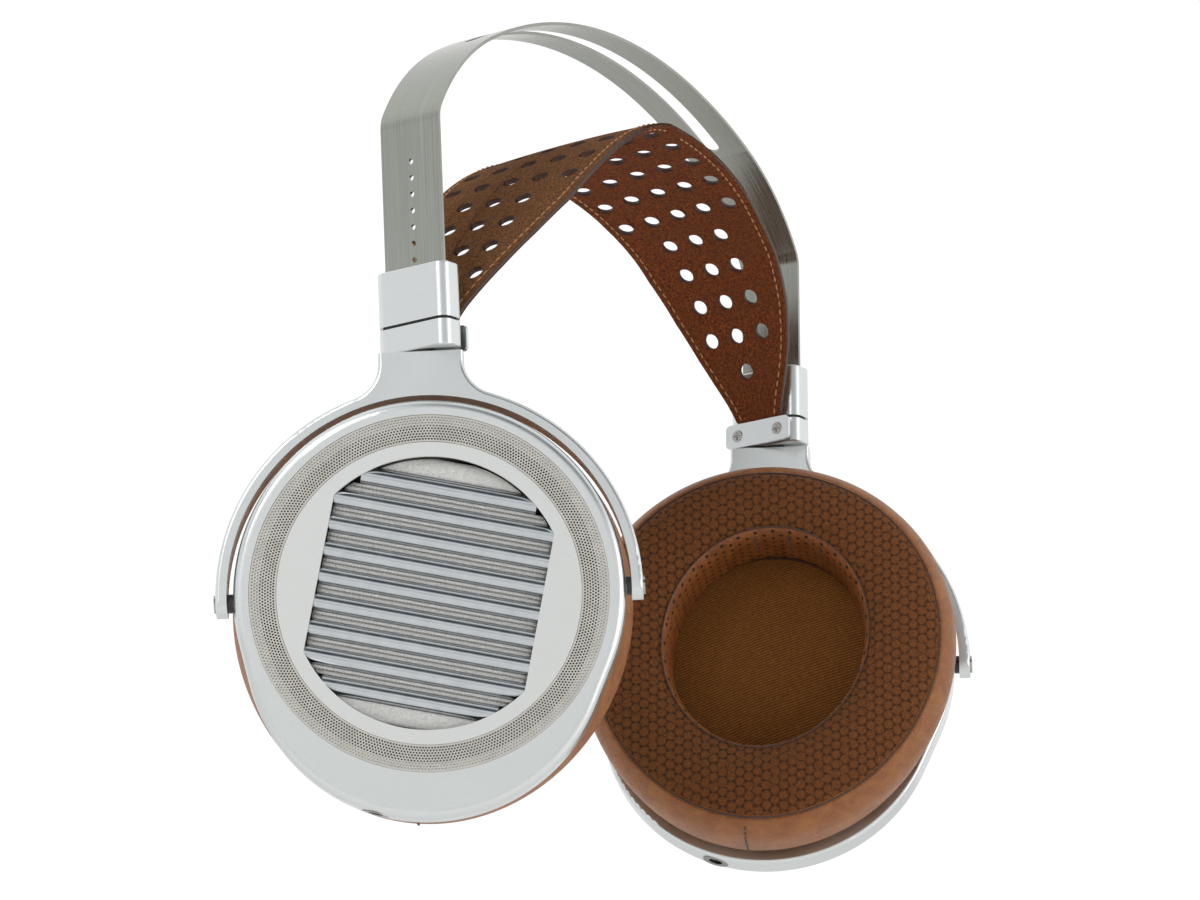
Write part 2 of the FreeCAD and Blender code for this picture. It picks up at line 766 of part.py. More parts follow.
def baffle():
    body = ring(baffle_radius, baffle_bore, baffle_back, baffle_front)
    for place in driver_screw_places():
        body = body.cut(driver_screw(place, seat_fit))
    return body


def driver_screw(place, grow=0.0):
    head = cylinder(driver_screw_head_radius + grow, V(baffle_back, place.y, place.z), X,
                    driver_screw_head_height)
    shaft = cylinder(driver_screw_radius + grow, V(baffle_back, place.y, place.z), X,
                     baffle_thickness + driver_screw_length)
    return head.fuse(shaft).removeSplitter()


def baffle_screws():
    return group([driver_screw(place) for place in driver_screw_places()])


def pad_ring():
    """Snap ring that carries the pad and the driver's cloth."""
    body = ring(pad_ring_radius, cloth_radius - 2, pad_ring_back, pad_ring_front)
    seat = pad_ring_front - cloth_thickness - part_gap
    return body.cut(disc(cloth_radius + part_gap, seat, pad_ring_front + 1))


def driver_cloth():
    return disc(cloth_radius, pad_ring_front - cloth_thickness, pad_ring_front)


def pad_wall():
    """Outer wall's curve, from the ring side to the edge of the face."""
    widest = pad_face + pad_bulge_depth
    wall = Part.BSplineCurve()
    wall.interpolate([V(pad_front, pad_base_radius, 0),
                      V(pad_front - pad_waist_depth, pad_base_radius + 1.1, 0),
                      V(widest, pad_bulge_radius, 0),
                      V(pad_face + pad_bulge_depth * 0.3, pad_bulge_radius - 1.6, 0),
                      V(pad_face, pad_face_radius, 0)])
    return wall.toShape()


def pad_body():
    """Closed cushion whose outline is round on top and drawn down towards the chin."""
    base, face = V(pad_front, 0, 0), V(pad_face, 0, 0)
    section = Part.Face(Part.Wire([
        pad_wall(), Part.makeLine(V(pad_face, pad_face_radius, 0), face),
        Part.makeLine(face, base), Part.makeLine(base, V(pad_front, pad_base_radius, 0))]))
    upper = section.revolve(ORIGIN, X, 180)
    lower = moved(upper.mirror(ORIGIN, Z), Z * -pad_chin)
    middle = section.extrude(Z * -pad_chin)
    body = upper.fuse([lower, middle, middle.mirror(ORIGIN, Y)]).removeSplitter()
    return turned(body, chin_lean, X)


def ear_pad():
    """Ring cushion: bulging outer wall, flat face, oval opening for the ear."""
    oval = Part.Ellipse(ORIGIN, pad_opening_height / 2, pad_opening_width / 2).toShape()
    oval = turned(Part.Face(Part.Wire([oval])), 90, Y)
    opening = moved(oval.extrude(X * (3 * pad_thickness)), X * (pad_face - pad_thickness))
    body = pad_body().cut(turned(opening, detail_lean, X))
    inner = [e for e in edges_at_x(body, pad_face) if e.Length < math.pi * pad_opening_height]
    rim = [e for e in inner if e.CenterOfMass.sub(face_middle()).Length < pad_opening_width / 4]
    return body.makeFillet(pad_inner_round, rim)


def face_middle():
    return V(pad_face, 0, 0)


# ---------------------------------------------------------------- socket and leads
def jack_axis():
    a = math.radians(jack_lean)
    return V(0, math.sin(a), -math.cos(a))


def jack_point(radius):
    return V(jack_x, 0, 0) + jack_axis() * radius


def jack_mouth():
    """Distance of the chin's edge from the cup's centre along the socket's axis."""
    a = math.radians(jack_lean - chin_lean)
    return chin_offset * math.cos(a) + math.sqrt(chin_radius ** 2 - (chin_offset * math.sin(a)) ** 2)


def jack_inner():
    return jack_mouth() - jack_bezel_thickness - jack_body_length


def jack_socket():
    body = cylinder(jack_body_radius, jack_point(jack_inner()), jack_axis(), jack_body_length)
    floor = jack_mouth() - jack_bezel_thickness - jack_depth
    return body.cut(cylinder(jack_radius, jack_point(floor), jack_axis(), jack_depth + 1))


def jack_bezel():
    base = jack_point(jack_mouth() - jack_bezel_thickness)
    outer = cylinder(jack_bezel_radius, base, jack_axis(), jack_bezel_thickness)
    return outer.cut(cylinder(jack_radius + 0.2, base, jack_axis(), jack_bezel_thickness))


def lead_path(shift, radius, extra):
    """Slanted rod from behind the socket to the film frame's rim."""
    start = jack_point(jack_inner() - lead_radius)
    frame_x = (film_frame_front + film_frame_back) / 2
    end = jack_axis() * (cavity_radius + lead_radius) + X * frame_x
    run = end - start
    length = run.Length - extra
    start = start + V(0, math.cos(math.radians(jack_lean)), math.sin(math.radians(jack_lean))) * shift
    return cylinder(radius, start, run, length)


def leads():
    gap = lead_radius + 0.1
    return group([lead_path(-gap, lead_radius, 0), lead_path(gap, lead_radius, 0)])


# ---------------------------------------------------------------- assembly
def click_drop(side_name):
    return leg_drop - side_rest[side_name]["clicks"] * detent_pitch


def slider_origin(side_name):
    """Yoke-top level on the leg, right-hand frame."""
    return shoulder_corner() - along(leg_heading) * (click_drop(side_name) + block_top)


def slider_point(side_name, point):
    out = FreeCAD.Rotation(Y, leg_lean).multVec(point)
    return slider_origin(side_name) + out


def place(shape, side_name, body):
    """Carry a piece from its own frame to where its body stands at rest."""
    rest = side_rest[side_name]
    out = shape.copy()
    if body == "cup":
        out = turned(out, rest["tilt"], Y)
        out.translate(V(0, 0, -yoke_drop))
    if body in ("yoke", "cup"):
        out = turned(out, rest["swivel"], Z)
        out.translate(V(-block_offset, 0, 0))
    out = turned(out, leg_lean, Y)
    out.translate(slider_origin(side_name))
    if side_name == "left":
        out = out.mirror(ORIGIN, X)
    return out


side_pieces = {
    "slider": [slider_block, click_spring, block_spacer, collar, clamp_plate, clamp_screws,
               swivel_washer],
    "yoke": [yoke, swivel_screw, pivot_pins, pivot_spacers],
    "cup": [cup_shell, pivot_bushes, grille_ring, inner_plate, magnet_bars, guard_wires,
            magnet_frame, fleece, film_frame, driver_film, baffle, baffle_screws, pad_ring,
            driver_cloth, ear_pad, jack_socket, jack_bezel, leads],
}


def build():
    nodes = {"headband_strip": headband_strip(), "suspension_strap": suspension_strap()}
    for side_name in ("left", "right"):
        for body, makers in side_pieces.items():
            for maker in makers:
                name = side_name + "_" + maker.__name__
                nodes[name] = place(maker(), side_name, body)
    return nodes


os.makedirs("parts", exist_ok=True)
for node, shape in build().items():
    solids = shape.Solids
    print(node, "valid" if shape.isValid() else "INVALID", len(solids), round(shape.Volume, 2))
    shape.exportStep("parts/" + node + ".step")
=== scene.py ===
"""Over ear headphones: steel band, suede strap, open planar drivers in leather-padded cups."""
import json
import math

import bmesh
import bpy
import numpy as np
from mathutils import Matrix, Vector


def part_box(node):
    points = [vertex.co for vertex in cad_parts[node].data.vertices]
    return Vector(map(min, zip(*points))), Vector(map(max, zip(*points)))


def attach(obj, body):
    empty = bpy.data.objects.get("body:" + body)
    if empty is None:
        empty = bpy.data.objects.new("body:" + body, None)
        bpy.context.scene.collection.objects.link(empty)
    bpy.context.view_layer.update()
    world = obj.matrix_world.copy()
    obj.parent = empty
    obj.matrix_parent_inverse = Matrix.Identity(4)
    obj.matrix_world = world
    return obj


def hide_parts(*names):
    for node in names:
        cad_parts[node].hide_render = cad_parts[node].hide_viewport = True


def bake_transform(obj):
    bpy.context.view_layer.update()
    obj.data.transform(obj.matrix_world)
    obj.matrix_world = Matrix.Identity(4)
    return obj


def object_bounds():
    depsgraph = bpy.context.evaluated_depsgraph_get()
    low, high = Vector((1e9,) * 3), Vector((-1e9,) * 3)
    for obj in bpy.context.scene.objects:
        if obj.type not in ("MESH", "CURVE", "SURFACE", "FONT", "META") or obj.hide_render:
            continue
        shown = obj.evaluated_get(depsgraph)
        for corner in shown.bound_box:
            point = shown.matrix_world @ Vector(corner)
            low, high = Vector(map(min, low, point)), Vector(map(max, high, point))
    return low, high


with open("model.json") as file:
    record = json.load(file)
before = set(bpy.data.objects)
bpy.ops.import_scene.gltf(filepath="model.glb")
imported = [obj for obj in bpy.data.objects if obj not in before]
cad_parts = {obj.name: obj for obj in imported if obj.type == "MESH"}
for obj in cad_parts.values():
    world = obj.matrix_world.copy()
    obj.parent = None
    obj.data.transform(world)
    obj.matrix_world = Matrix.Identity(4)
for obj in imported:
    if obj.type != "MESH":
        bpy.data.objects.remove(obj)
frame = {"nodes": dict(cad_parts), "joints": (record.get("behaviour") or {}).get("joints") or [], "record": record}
cad_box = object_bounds()
MM = 0.001
SIDES = ("left", "right")

# ---------------------------------------------------------------- steel band
# The sprung headband is one strip of spring steel, slotted over the arch, pierced with a row
# of click holes on each leg and linished along its length after bending.


def linear(code):
    """A hex colour as the linear colour a shader takes."""
    out = []
    for k in (1, 3, 5):
        c = int(code[k:k + 2], 16) / 255
        out.append(c / 12.92 if c <= 0.04045 else ((c + 0.055) / 1.055) ** 2.4)
    return (*out, 1.0)


def finish(name, code, settings):
    """A new material: its plain colour, for where no pattern is drawn, and its settings."""
    mat = bpy.data.materials.new(name)
    mat.use_nodes = True
    shader = mat.node_tree.nodes["Principled BSDF"]
    shader.inputs["Base Color"].default_value = linear(code)
    for key, value in settings.items():
        shader.inputs[key].default_value = value
    return mat, shader


def add(mat, kind, settings, links=None):
    """A node with its settings and links; gives its outputs."""
    node = mat.node_tree.nodes.new("ShaderNode" + kind)
    for key, value in settings.items():
        if isinstance(key, int) or key in node.inputs:
            node.inputs[key].default_value = value
        else:
            setattr(node, key, value)
    for key, source in (links or {}).items():
        mat.node_tree.links.new(source, node.inputs[key])
    return node.outputs


def feed(mat, shader, **sources):
    """Joins outputs to the shader's sockets, with spaces for the underscores."""
    for key, source in sources.items():
        mat.node_tree.links.new(source, shader.inputs[key.replace("_", " ")])


def paint(material, *names):
    """Gives solid pieces their finish."""
    for name in names:
        data = frame["nodes"][name].data
        data.materials.clear()
        data.materials.append(material)


# Brushed spring steel: the linishing lines, real ones about 0.1 mm apart and drawn 0.25 mm
# apart to show, run along the strip and stretch its highlights crosswise.
band_steel, shader = finish("brushed_spring_steel", "#A9A79C", {"Metallic": 1.0})
place = add(band_steel, "TexCoord", {})["Object"]
lines = add(band_steel, "Mapping", {"Scale": (25, 4000, 25)}, {"Vector": place})["Vector"]
grain = add(band_steel, "TexNoise", {"Scale": 1.0, "Detail": 4.0, "Roughness": 0.7},
            {"Vector": lines})["Fac"]
rough = add(band_steel, "MapRange", {"From Min": 0.3, "From Max": 0.7, "To Min": 0.14,
                                     "To Max": 0.32}, {"Value": grain})["Result"]
tone = add(band_steel, "Mix", {"data_type": "RGBA", 6: linear("#7B7D77"), 7: linear("#B6B8B1")},
           {0: grain})[2]
cut = add(band_steel, "Bump", {"Strength": 0.25, "Distance": 0.00004}, {"Height": grain})["Normal"]
feed(band_steel, shader, Base_Color=tone, Roughness=rough, Normal=cut)
paint(band_steel, "headband_strip")

# ---------------------------------------------------------------- slider blocks and collars
# Each block and collar is milled from aluminium, bead blasted and clear anodised; a black
# moulded shim parts them, and a steel leaf inside drops into the band's click holes.


def blasted(name, light, dark, low, high):
    """Bead-blasted metal: 0.25 mm dimples, drawn a little coarser than the real 0.1 mm."""
    mat, shader = finish(name, light, {"Metallic": 1.0})
    place = add(mat, "TexCoord", {})["Object"]
    dimples = add(mat, "TexNoise", {"Scale": 4000.0, "Detail": 2.0}, {"Vector": place})["Fac"]
    drift = add(mat, "TexNoise", {"Scale": 60.0, "Detail": 3.0}, {"Vector": place})["Fac"]
    tone = add(mat, "Mix", {"data_type": "RGBA", 6: linear(dark), 7: linear(light)}, {0: dimples})[2]
    rough = add(mat, "MapRange", {"From Min": 0.3, "From Max": 0.7, "To Min": low,
                                  "To Max": high}, {"Value": drift})["Result"]
    bump = add(mat, "Bump", {"Strength": 0.3, "Distance": 0.00002}, {"Height": dimples})["Normal"]
    feed(mat, shader, Base_Color=tone, Roughness=rough, Normal=bump)
    return mat


def moulded(name, light, dark, roughness):
    """Moulded plastic with the mould's 0.2 mm spark texture."""
    mat, shader = finish(name, light, {"Roughness": roughness})
    place = add(mat, "TexCoord", {})["Object"]
    grit = add(mat, "TexNoise", {"Scale": 5000.0, "Detail": 2.0}, {"Vector": place})["Fac"]
    tone = add(mat, "Mix", {"data_type": "RGBA", 6: linear(dark), 7: linear(light)}, {0: grit})[2]
    bump = add(mat, "Bump", {"Strength": 0.4, "Distance": 0.00003}, {"Height": grit})["Normal"]
    feed(mat, shader, Base_Color=tone, Normal=bump)
    return mat


# Satin aluminium: a soft grey-white metal whose highlights spread wide and even.
satin_aluminium = blasted("bead_blasted_aluminium", "#DFE2E2", "#CFD3D3", 0.28, 0.38)
# Bright leaf steel and turned fixings: smoother, so they catch small sharp lights.
fixing_steel = blasted("turned_steel", "#B9B8B4", "#9A9994", 0.16, 0.24)
black_plastic = moulded("moulded_black_plastic", "#1B1B1C", "#101011", 0.45)
washer_plastic = moulded("acetal_washer", "#2A2A2B", "#1E1E1F", 0.35)
for side in SIDES:
    paint(satin_aluminium, side + "_slider_block", side + "_collar", side + "_clamp_plate")
    paint(black_plastic, side + "_block_spacer")
    paint(washer_plastic, side + "_swivel_washer")
    paint(fixing_steel, side + "_click_spring")

# ---------------------------------------------------------------- clamp screws
# Two countersunk cross-head steel screws a side pull the clamp plate down on the strap's tab.
# Their heads are turned smooth and the cross is punched into them.
screw_head = 1.8 * MM
screw_rows = 9
screw_steps = 48
head_crown = 0.03 * MM
head_skirt = 0.5 * MM
cross_width = 0.24
cross_reach = 0.62
cross_depth = 0.55 * MM


def piece(name, verts, faces, materials, marks=None, smooth=True, uvs=None):
    """A new mesh object from plain lists, its faces turned outwards."""
    mesh = bpy.data.meshes.new(name)
    mesh.from_pydata([tuple(v) for v in verts], [], faces)
    for material in materials:
        mesh.materials.append(material)
    if marks is not None:
        mesh.polygons.foreach_set("material_index", marks)
    mesh.polygons.foreach_set("use_smooth", [smooth] * len(faces))
    if uvs is not None:
        layer = mesh.uv_layers.new(name="flat")
        layer.data.foreach_set("uv", [c for f in uvs for corner in f for c in corner])
    work = bmesh.new()
    work.from_mesh(mesh)
    bmesh.ops.recalc_face_normals(work, faces=work.faces)
    work.to_mesh(mesh)
    work.free()
    obj = bpy.data.objects.new(name, mesh)
    bpy.context.scene.collection.objects.link(obj)
    return obj


joints = {j["name"]: j for j in frame["joints"]}


def slider_axes(side):
    """Outward and upward directions of a slider."""
    up = Vector(joints[side + "_height"]["axis"])
    out = Vector((0, 1, 0)).cross(up)
    return (out if side == "right" else -out), up


def screw(centre, inward, across, up, verts, faces):
    """Adds one cross-head screw's face and rim, looking inward from the clamp plate."""
    start = len(verts)
    verts.append(centre - inward * cross_depth)
    for row in range(1, screw_rows + 1):
        r = row / screw_rows
        for k in range(screw_steps):
            a = 2 * math.pi * k / screw_steps
            y, z = r * math.cos(a), r * math.sin(a)
            near = min(abs(y), abs(z))
            in_cross = near < cross_width / 2 and max(abs(y), abs(z)) < cross_reach
            depth = -cross_depth if in_cross else -head_crown * r ** 4
            verts.append(centre + across * (y * screw_head) + up * (z * screw_head) + inward * depth)
    for k in range(screw_steps):
        verts.append(verts[start + 1 + (screw_rows - 1) * screw_steps + k] - inward * head_skirt)
    for k in range(screw_steps):
        nxt = (k + 1) % screw_steps
        faces.append((start, start + 1 + k, start + 1 + nxt))
        for row in range(screw_rows):
            a = start + 1 + row * screw_steps
            b = a + screw_steps
            faces.append((a + k, b + k, b + nxt, a + nxt))


for side in SIDES:
    out, up = slider_axes(side)
    low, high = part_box(side + "_clamp_screws")
    middle = (low + high) / 2
    face_x = low.x if side == "right" else high.x
    verts, faces = [], []
    for y in (low.y + screw_head, high.y - screw_head):
        centre = Vector((face_x, y, middle.z)) - out * 0.02 * MM
        screw(centre, -out, Vector((0, 1, 0)), up, verts, faces)
    heads = piece(side + "_clamp_screw_heads", verts, faces, [fixing_steel])
    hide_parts(side + "_clamp_screws")
    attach(heads, side + "_slider")

# ---------------------------------------------------------------- suspension strap
# A band of split suede hangs between the two clamps: punched with round vents, edge painted
# and stitched 2 mm in. It is made in two halves, one for each side.
strap_thickness = 1.5 * MM
strap_half = 24.5 * MM
strap_split = 5.4 * MM
strap_steps = 160
vent_radius = 2.35 * MM
vent_column = 9.0 * MM
vent_middle = 0.8 * MM
vent_row = {"left": 11.8 * MM, "right": 10.9 * MM}
vent_rows = {"left": 8, "right": 9}
strap_reach = {"left": 0.40, "right": 0.80}
strap_heading = math.radians(71)
strap_handle = 0.24
strap_yaw = 0.2
strap_bank = -0.14
strap_turn_reach = 57 * MM
strap_dish = 0.9 * MM
tab_half = 5.4 * MM
tab_length = 6.4 * MM
tab_steps = 8
seat_inset = 5.3 * MM
seat_rise = 7.8 * MM
# Half the cut width, mm, at heights above the tab's seat, mm.
width_heights = (0, 1, 3, 6.5, 13, 20, 31, 43, 56, 70)
half_widths = (6.6, 7.7, 8.3, 9.6, 12.6, 15.6, 19.4, 22.4, 24.0, 24.5)
# Half widths from which a row has five vents, and three.
five_vents = 23.3 * MM
three_vents = 14.2 * MM
first_stitch = {"left": 1.0 * MM, "right": 6.5 * MM}
stitch_inset = 2.0 * MM
stitch_pitch = 2.6 * MM
stitch_share = 0.68
stitch_lift = 0.12 * MM
stitch_radius = 0.26 * MM


def strap_line(side):
    """Points down the middle of one half, crown to tab, with each one's distance."""
    out, up = slider_axes(side)
    pivot = Vector(joints[side + "_swivel"]["pos_m"])
    seat = pivot - out * seat_inset + up * seat_rise
    crown = Vector((0, 0, strap_thickness / 2))
    first = crown + Vector((seat.x * strap_reach[side], 0, 0))
    lean = math.copysign(math.cos(strap_heading), -seat.x)
    second = seat + Vector((lean, 0, math.sin(strap_heading))) * ((crown.z - seat.z) * strap_handle)
    line = []
    for k in range(strap_steps + 1):
        t = k / strap_steps
        line.append(crown * (1 - t) ** 3 + first * (3 * t * (1 - t) ** 2)
                    + second * (3 * t * t * (1 - t)) + seat * t ** 3)
    line += [seat - up * (tab_length * k / tab_steps) for k in range(1, tab_steps + 1)]
    reach = [0.0]
    for a, b in zip(line, line[1:]):
        reach.append(reach[-1] + (b - a).length)
    return np.array(line), np.array(reach), seat


strap_lines = {side: strap_line(side) for side in SIDES}


def strap_point(s):
    """Middle line's place at distance s from the crown, left negative."""
    line, reach, _ = strap_lines["right" if s > 0 else "left"]
    return Vector([np.interp(abs(s), reach, line[:, k]) for k in range(3)])


def strap_at(s, y, lift):
    """Place of a point on the strap: s along, y across, lift off the middle line."""
    along = (strap_point(s + 0.6 * MM) - strap_point(s - 0.6 * MM)).normalized()
    hold = (1 if s > 0 else 2) - abs(s) / strap_turn_reach
    hold = min(1.0, max(0.0, hold))
    hold = hold * hold * (3 - 2 * hold)
    yaw, bank = strap_yaw * hold, strap_bank * max(0.0, 1 - abs(s) / strap_turn_reach)
    across = Vector((-math.sin(yaw) * math.cos(bank), math.cos(yaw) * math.cos(bank), math.sin(bank)))
    normal = along.cross(across).normalized()
    return strap_point(s) + across * y + normal * (lift - strap_dish * (y / strap_half) ** 2)


def strap_half_width(s):
    """Half width of the cut piece at distance s from the crown."""
    _, reach, seat = strap_lines["right" if s > 0 else "left"]
    if abs(s) > reach[strap_steps]:
        return tab_half
    height = (strap_point(s).z - seat.z) / MM
    return float(np.interp(height, width_heights, half_widths)) * MM


def outline(side):
    """The flat cut of one half: its rim and the punched vents, in strap distances."""
    sign = 1 if side == "right" else -1
    reach = strap_lines[side][1]
    stations = np.linspace(strap_split, sign * reach[-1], 121)
    rim = [(s, strap_half_width(s)) for s in stations]
    rim += [(s, -strap_half_width(s)) for s in stations[::-1]]
    loops = [rim]
    for row in range(0 if side == "left" else 1, vent_rows[side] + 1):
        s = sign * row * vent_row[side]
        half = strap_half_width(s)
        count = 5 if half > five_vents else 3 if half > three_vents else 1
        for column in range(count):
            y = vent_middle + (column - (count - 1) / 2) * vent_column
            loops.append([(s + vent_radius * math.cos(a), y + vent_radius * math.sin(a))
                          for a in np.linspace(0, 2 * math.pi, 29)[:-1]])
    return loops


def flat_cut(name, loops):
    """A filled flat mesh from closed loops, sliced finely so that it bends smoothly.

    It is worked in centimetres, where the fill and the slices are surer than in metres.
    """
    curve = bpy.data.curves.new(name, "CURVE")
    curve.dimensions = "2D"
    curve.fill_mode = "FRONT"
    for loop in loops:
        spline = curve.splines.new("POLY")
        spline.points.add(len(loop) - 1)
        for point, (x, y) in zip(spline.points, loop):
            point.co = (x * 100, y * 100, 0, 1)
        spline.use_cyclic_u = True
    holder = bpy.data.objects.new(name, curve)
    mesh = bpy.data.meshes.new_from_object(holder)
    bpy.data.objects.remove(holder)
    bpy.data.curves.remove(curve)
    work = bmesh.new()
    work.from_mesh(mesh)
    bmesh.ops.remove_doubles(work, verts=work.verts, dist=1e-4)
    along = [((step, 0, 0), (1, 0, 0)) for step in np.arange(-12.5, 12.5, 0.18)]
    across = [((0, step, 0), (0, 1, 0)) for step in np.arange(-2.4, 2.5, 0.3)]
    for place, normal in along + across:
        bmesh.ops.bisect_plane(work, geom=work.verts[:] + work.edges[:] + work.faces[:],
                               plane_co=place, plane_no=normal)
    bmesh.ops.scale(work, vec=(0.01, 0.01, 0.01), verts=work.verts)
    return work


def suede(name, light, dark, deep):
    """Split suede: 0.3 mm nap, drawn 0.7 mm wide to show, over patches where it was stroked."""
    mat, shader = finish(name, light, {"Roughness": 0.95, "Sheen Weight": 0.04,
                                       "Sheen Roughness": 0.5, "Specular IOR Level": 0.2})
    place = add(mat, "TexCoord", {})["Object"]
    nap = add(mat, "TexNoise", {"Scale": 1500.0, "Detail": 6.0, "Roughness": 0.85},
              {"Vector": place})["Fac"]
    nap = add(mat, "MapRange", {"From Min": 0.42, "From Max": 0.58}, {"Value": nap})["Result"]
    patch = add(mat, "TexNoise", {"Scale": 90.0, "Detail": 4.0}, {"Vector": place})["Fac"]
    patch = add(mat, "MapRange", {"From Min": 0.35, "From Max": 0.7}, {"Value": patch})["Result"]
    tone = add(mat, "Mix", {"data_type": "RGBA", 6: linear(dark), 7: linear(light)}, {0: nap})[2]
    mixed = add(mat, "Mix", {"data_type": "RGBA", 7: linear(deep)}, {0: patch, 6: tone})[2]
    worn = add(mat, "Mix", {"data_type": "RGBA", 0: 0.45}, {6: tone, 7: mixed})[2]
    bump = add(mat, "Bump", {"Strength": 0.8, "Distance": 0.0003}, {"Height": nap})["Normal"]
    feed(mat, shader, Base_Color=worn, Normal=bump)
    return mat


def tube_ends(verts, faces, path, radius, sides):
    """Adds a round thread along a path, closed at both ends."""
    start = len(verts)
    count = len(path)
    for k, point in enumerate(path):
        ahead = (path[min(k + 1, count - 1)] - path[max(k - 1, 0)]).normalized()
        side_way = ahead.cross(Vector((0.31, 0.87, 0.38))).normalized()
        other = ahead.cross(side_way)
        thin = radius * (0.55 if k in (0, count - 1) else 1.0)
        for j in range(sides):
            a = 2 * math.pi * j / sides
            verts.append(point + side_way * (thin * math.cos(a)) + other * (thin * math.sin(a)))
    for k in range(count - 1):
        for j in range(sides):
            a, b = start + k * sides, start + (k + 1) * sides
            faces.append((a + j, a + (j + 1) % sides, b + (j + 1) % sides, b + j))
    faces.append(tuple(start + j for j in range(sides))[::-1])
    faces.append(tuple(start + (count - 1) * sides + j for j in range(sides)))


# One suede drawn in two tones: a lighter, drier brown on the top, which is painted light, and a
# redder, darker brown on the underside, which is painted shade.
suede_top_lit = suede("split_suede_top_lit", "#A36B36", "#4A290F", "#7C4C22")
suede_underside_shaded = suede("split_suede_underside_shaded", "#A2511C", "#431D07", "#6F3810")
# Edge paint: a dark brown film on the cut edges and vent rims, slightly shiny.
edge_paint = moulded("edge_paint_dark_brown", "#45250F", "#341A0A", 0.5)


def thread(name, light, dark):
    """Bonded nylon thread, its 0.4 mm lay seen as light and dark along each stitch."""
    mat, shader = finish(name, light, {"Roughness": 0.6, "Sheen Weight": 0.3})
    place = add(mat, "TexCoord", {})["Object"]
    lay = add(mat, "TexNoise", {"Scale": 2500.0, "Detail": 2.0}, {"Vector": place})["Fac"]
    tone = add(mat, "Mix", {"data_type": "RGBA", 6: linear(dark), 7: linear(light)}, {0: lay})[2]
    feed(mat, shader, Base_Color=tone)
    return mat


strap_thread = thread("tan_stitching_thread", "#C08A55", "#96602F")

for side in SIDES:
    sign = 1 if side == "right" else -1
    work = flat_cut(side + "_strap", outline(side))
    flat_area = sum(f.calc_area() for f in work.faces)
    for vert in work.verts:
        vert.co = strap_at(vert.co.x, vert.co.y, 0.0)
    mesh = bpy.data.meshes.new(side + "_strap")
    # The top takes the suede with painted light, the underside the suede with painted shade.
    for material in (suede_top_lit, suede_underside_shaded, edge_paint):
        mesh.materials.append(material)
    for face in work.faces:
        face.smooth = True
    bmesh.ops.recalc_face_normals(work, faces=work.faces)
    work.to_mesh(mesh)
    work.free()
    if sum(p.normal.z * p.area for p in mesh.polygons) < 0:
        mesh.flip_normals()
    strap = bpy.data.objects.new(side + "_strap", mesh)
    bpy.context.scene.collection.objects.link(strap)
    thick = strap.modifiers.new("hide", "SOLIDIFY")
    thick.thickness = strap_thickness
    thick.offset = 0
    thick.material_offset = 1
    thick.material_offset_rim = 2
    depsgraph = bpy.context.evaluated_depsgraph_get()
    shaped = bpy.data.meshes.new_from_object(strap.evaluated_get(depsgraph))
    strap.modifiers.clear()
    strap.data = shaped
    verts, faces = [], []
    end = strap_lines[side][1][strap_steps] - 2 * MM
    for edge in (-1, 1):
        for lift in (-1, 1):
            s = first_stitch[side]
            while s < end:
                path = []
                for k in range(4):
                    at = sign * (s + stitch_pitch * stitch_share * k / 3)
                    y = edge * (strap_half_width(at) - stitch_inset)
                    rise = stitch_lift * math.sin(math.pi * k / 3)
                    path.append(strap_at(at, y, lift * (strap_thickness / 2 + rise)))
                tube_ends(verts, faces, path, stitch_radius, 6)
                s += stitch_pitch
    stitches = piece(side + "_strap_stitches", verts, faces, [strap_thread])
    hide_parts("suspension_strap")
    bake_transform(strap)
    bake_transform(stitches)

# ---------------------------------------------------------------- yokes
# Each yoke is one aluminium forging, edge rounded and bead blasted, turning on a shouldered
# screw in the collar; steel pins with plastic spacers hang the cup between its arms.
for side in SIDES:
    paint(satin_aluminium, side + "_yoke")
    paint(fixing_steel, side + "_swivel_screw", side + "_pivot_pins")
    paint(washer_plastic, side + "_pivot_spacers")

# ---------------------------------------------------------------- cup shells and front plates
# The shell is turned and milled aluminium; a plain plate of the same metal, a shade whiter,
# is pressed in round the driver's opening.
plate_aluminium = blasted("fine_blasted_plate", "#E4E5E4", "#D6D8D7", 0.34, 0.42)
# Brass bushes in the shell carry the pins: yellow metal, only glimpsed at the pivots.
bush_brass = blasted("turned_brass", "#C9A45A", "#B08C48", 0.2, 0.3)
for side in SIDES:
    paint(satin_aluminium, side + "_cup_shell")
    paint(plate_aluminium, side + "_inner_plate")
    paint(bush_brass, side + "_pivot_bushes")

# ---------------------------------------------------------------- grille rings
# A thin steel annulus round the driver, etched right through with nine rings of round holes
# about half a millimetre across and dropped into a step in the shell.
grille_outer = 48.8 * MM
grille_inner = 41.5 * MM
grille_front = 4.35 * MM
grille_depth = 0.45 * MM
grille_border = 0.35 * MM
grille_rings = 9
grille_holes = 330
grille_hole_share = 0.74


mounts = {m["name"]: m for m in frame["record"]["mounts"]}


def cup_frame(side):
    """Matrix from a cup's own frame (outward, forward, up from the pivot line) to the world."""
    forward = Vector(joints[side + "_tilt"]["axis"])
    outward = -Vector(mounts[side + "_pad_face"]["axis"])
    up = outward.cross(forward)
    if side == "left":
        up = -up
    out = Matrix((outward, forward, up)).transposed().to_4x4()
    out.translation = Vector(joints[side + "_tilt"]["pos_m"])
    return out


cup = {side: cup_frame(side) for side in SIDES}


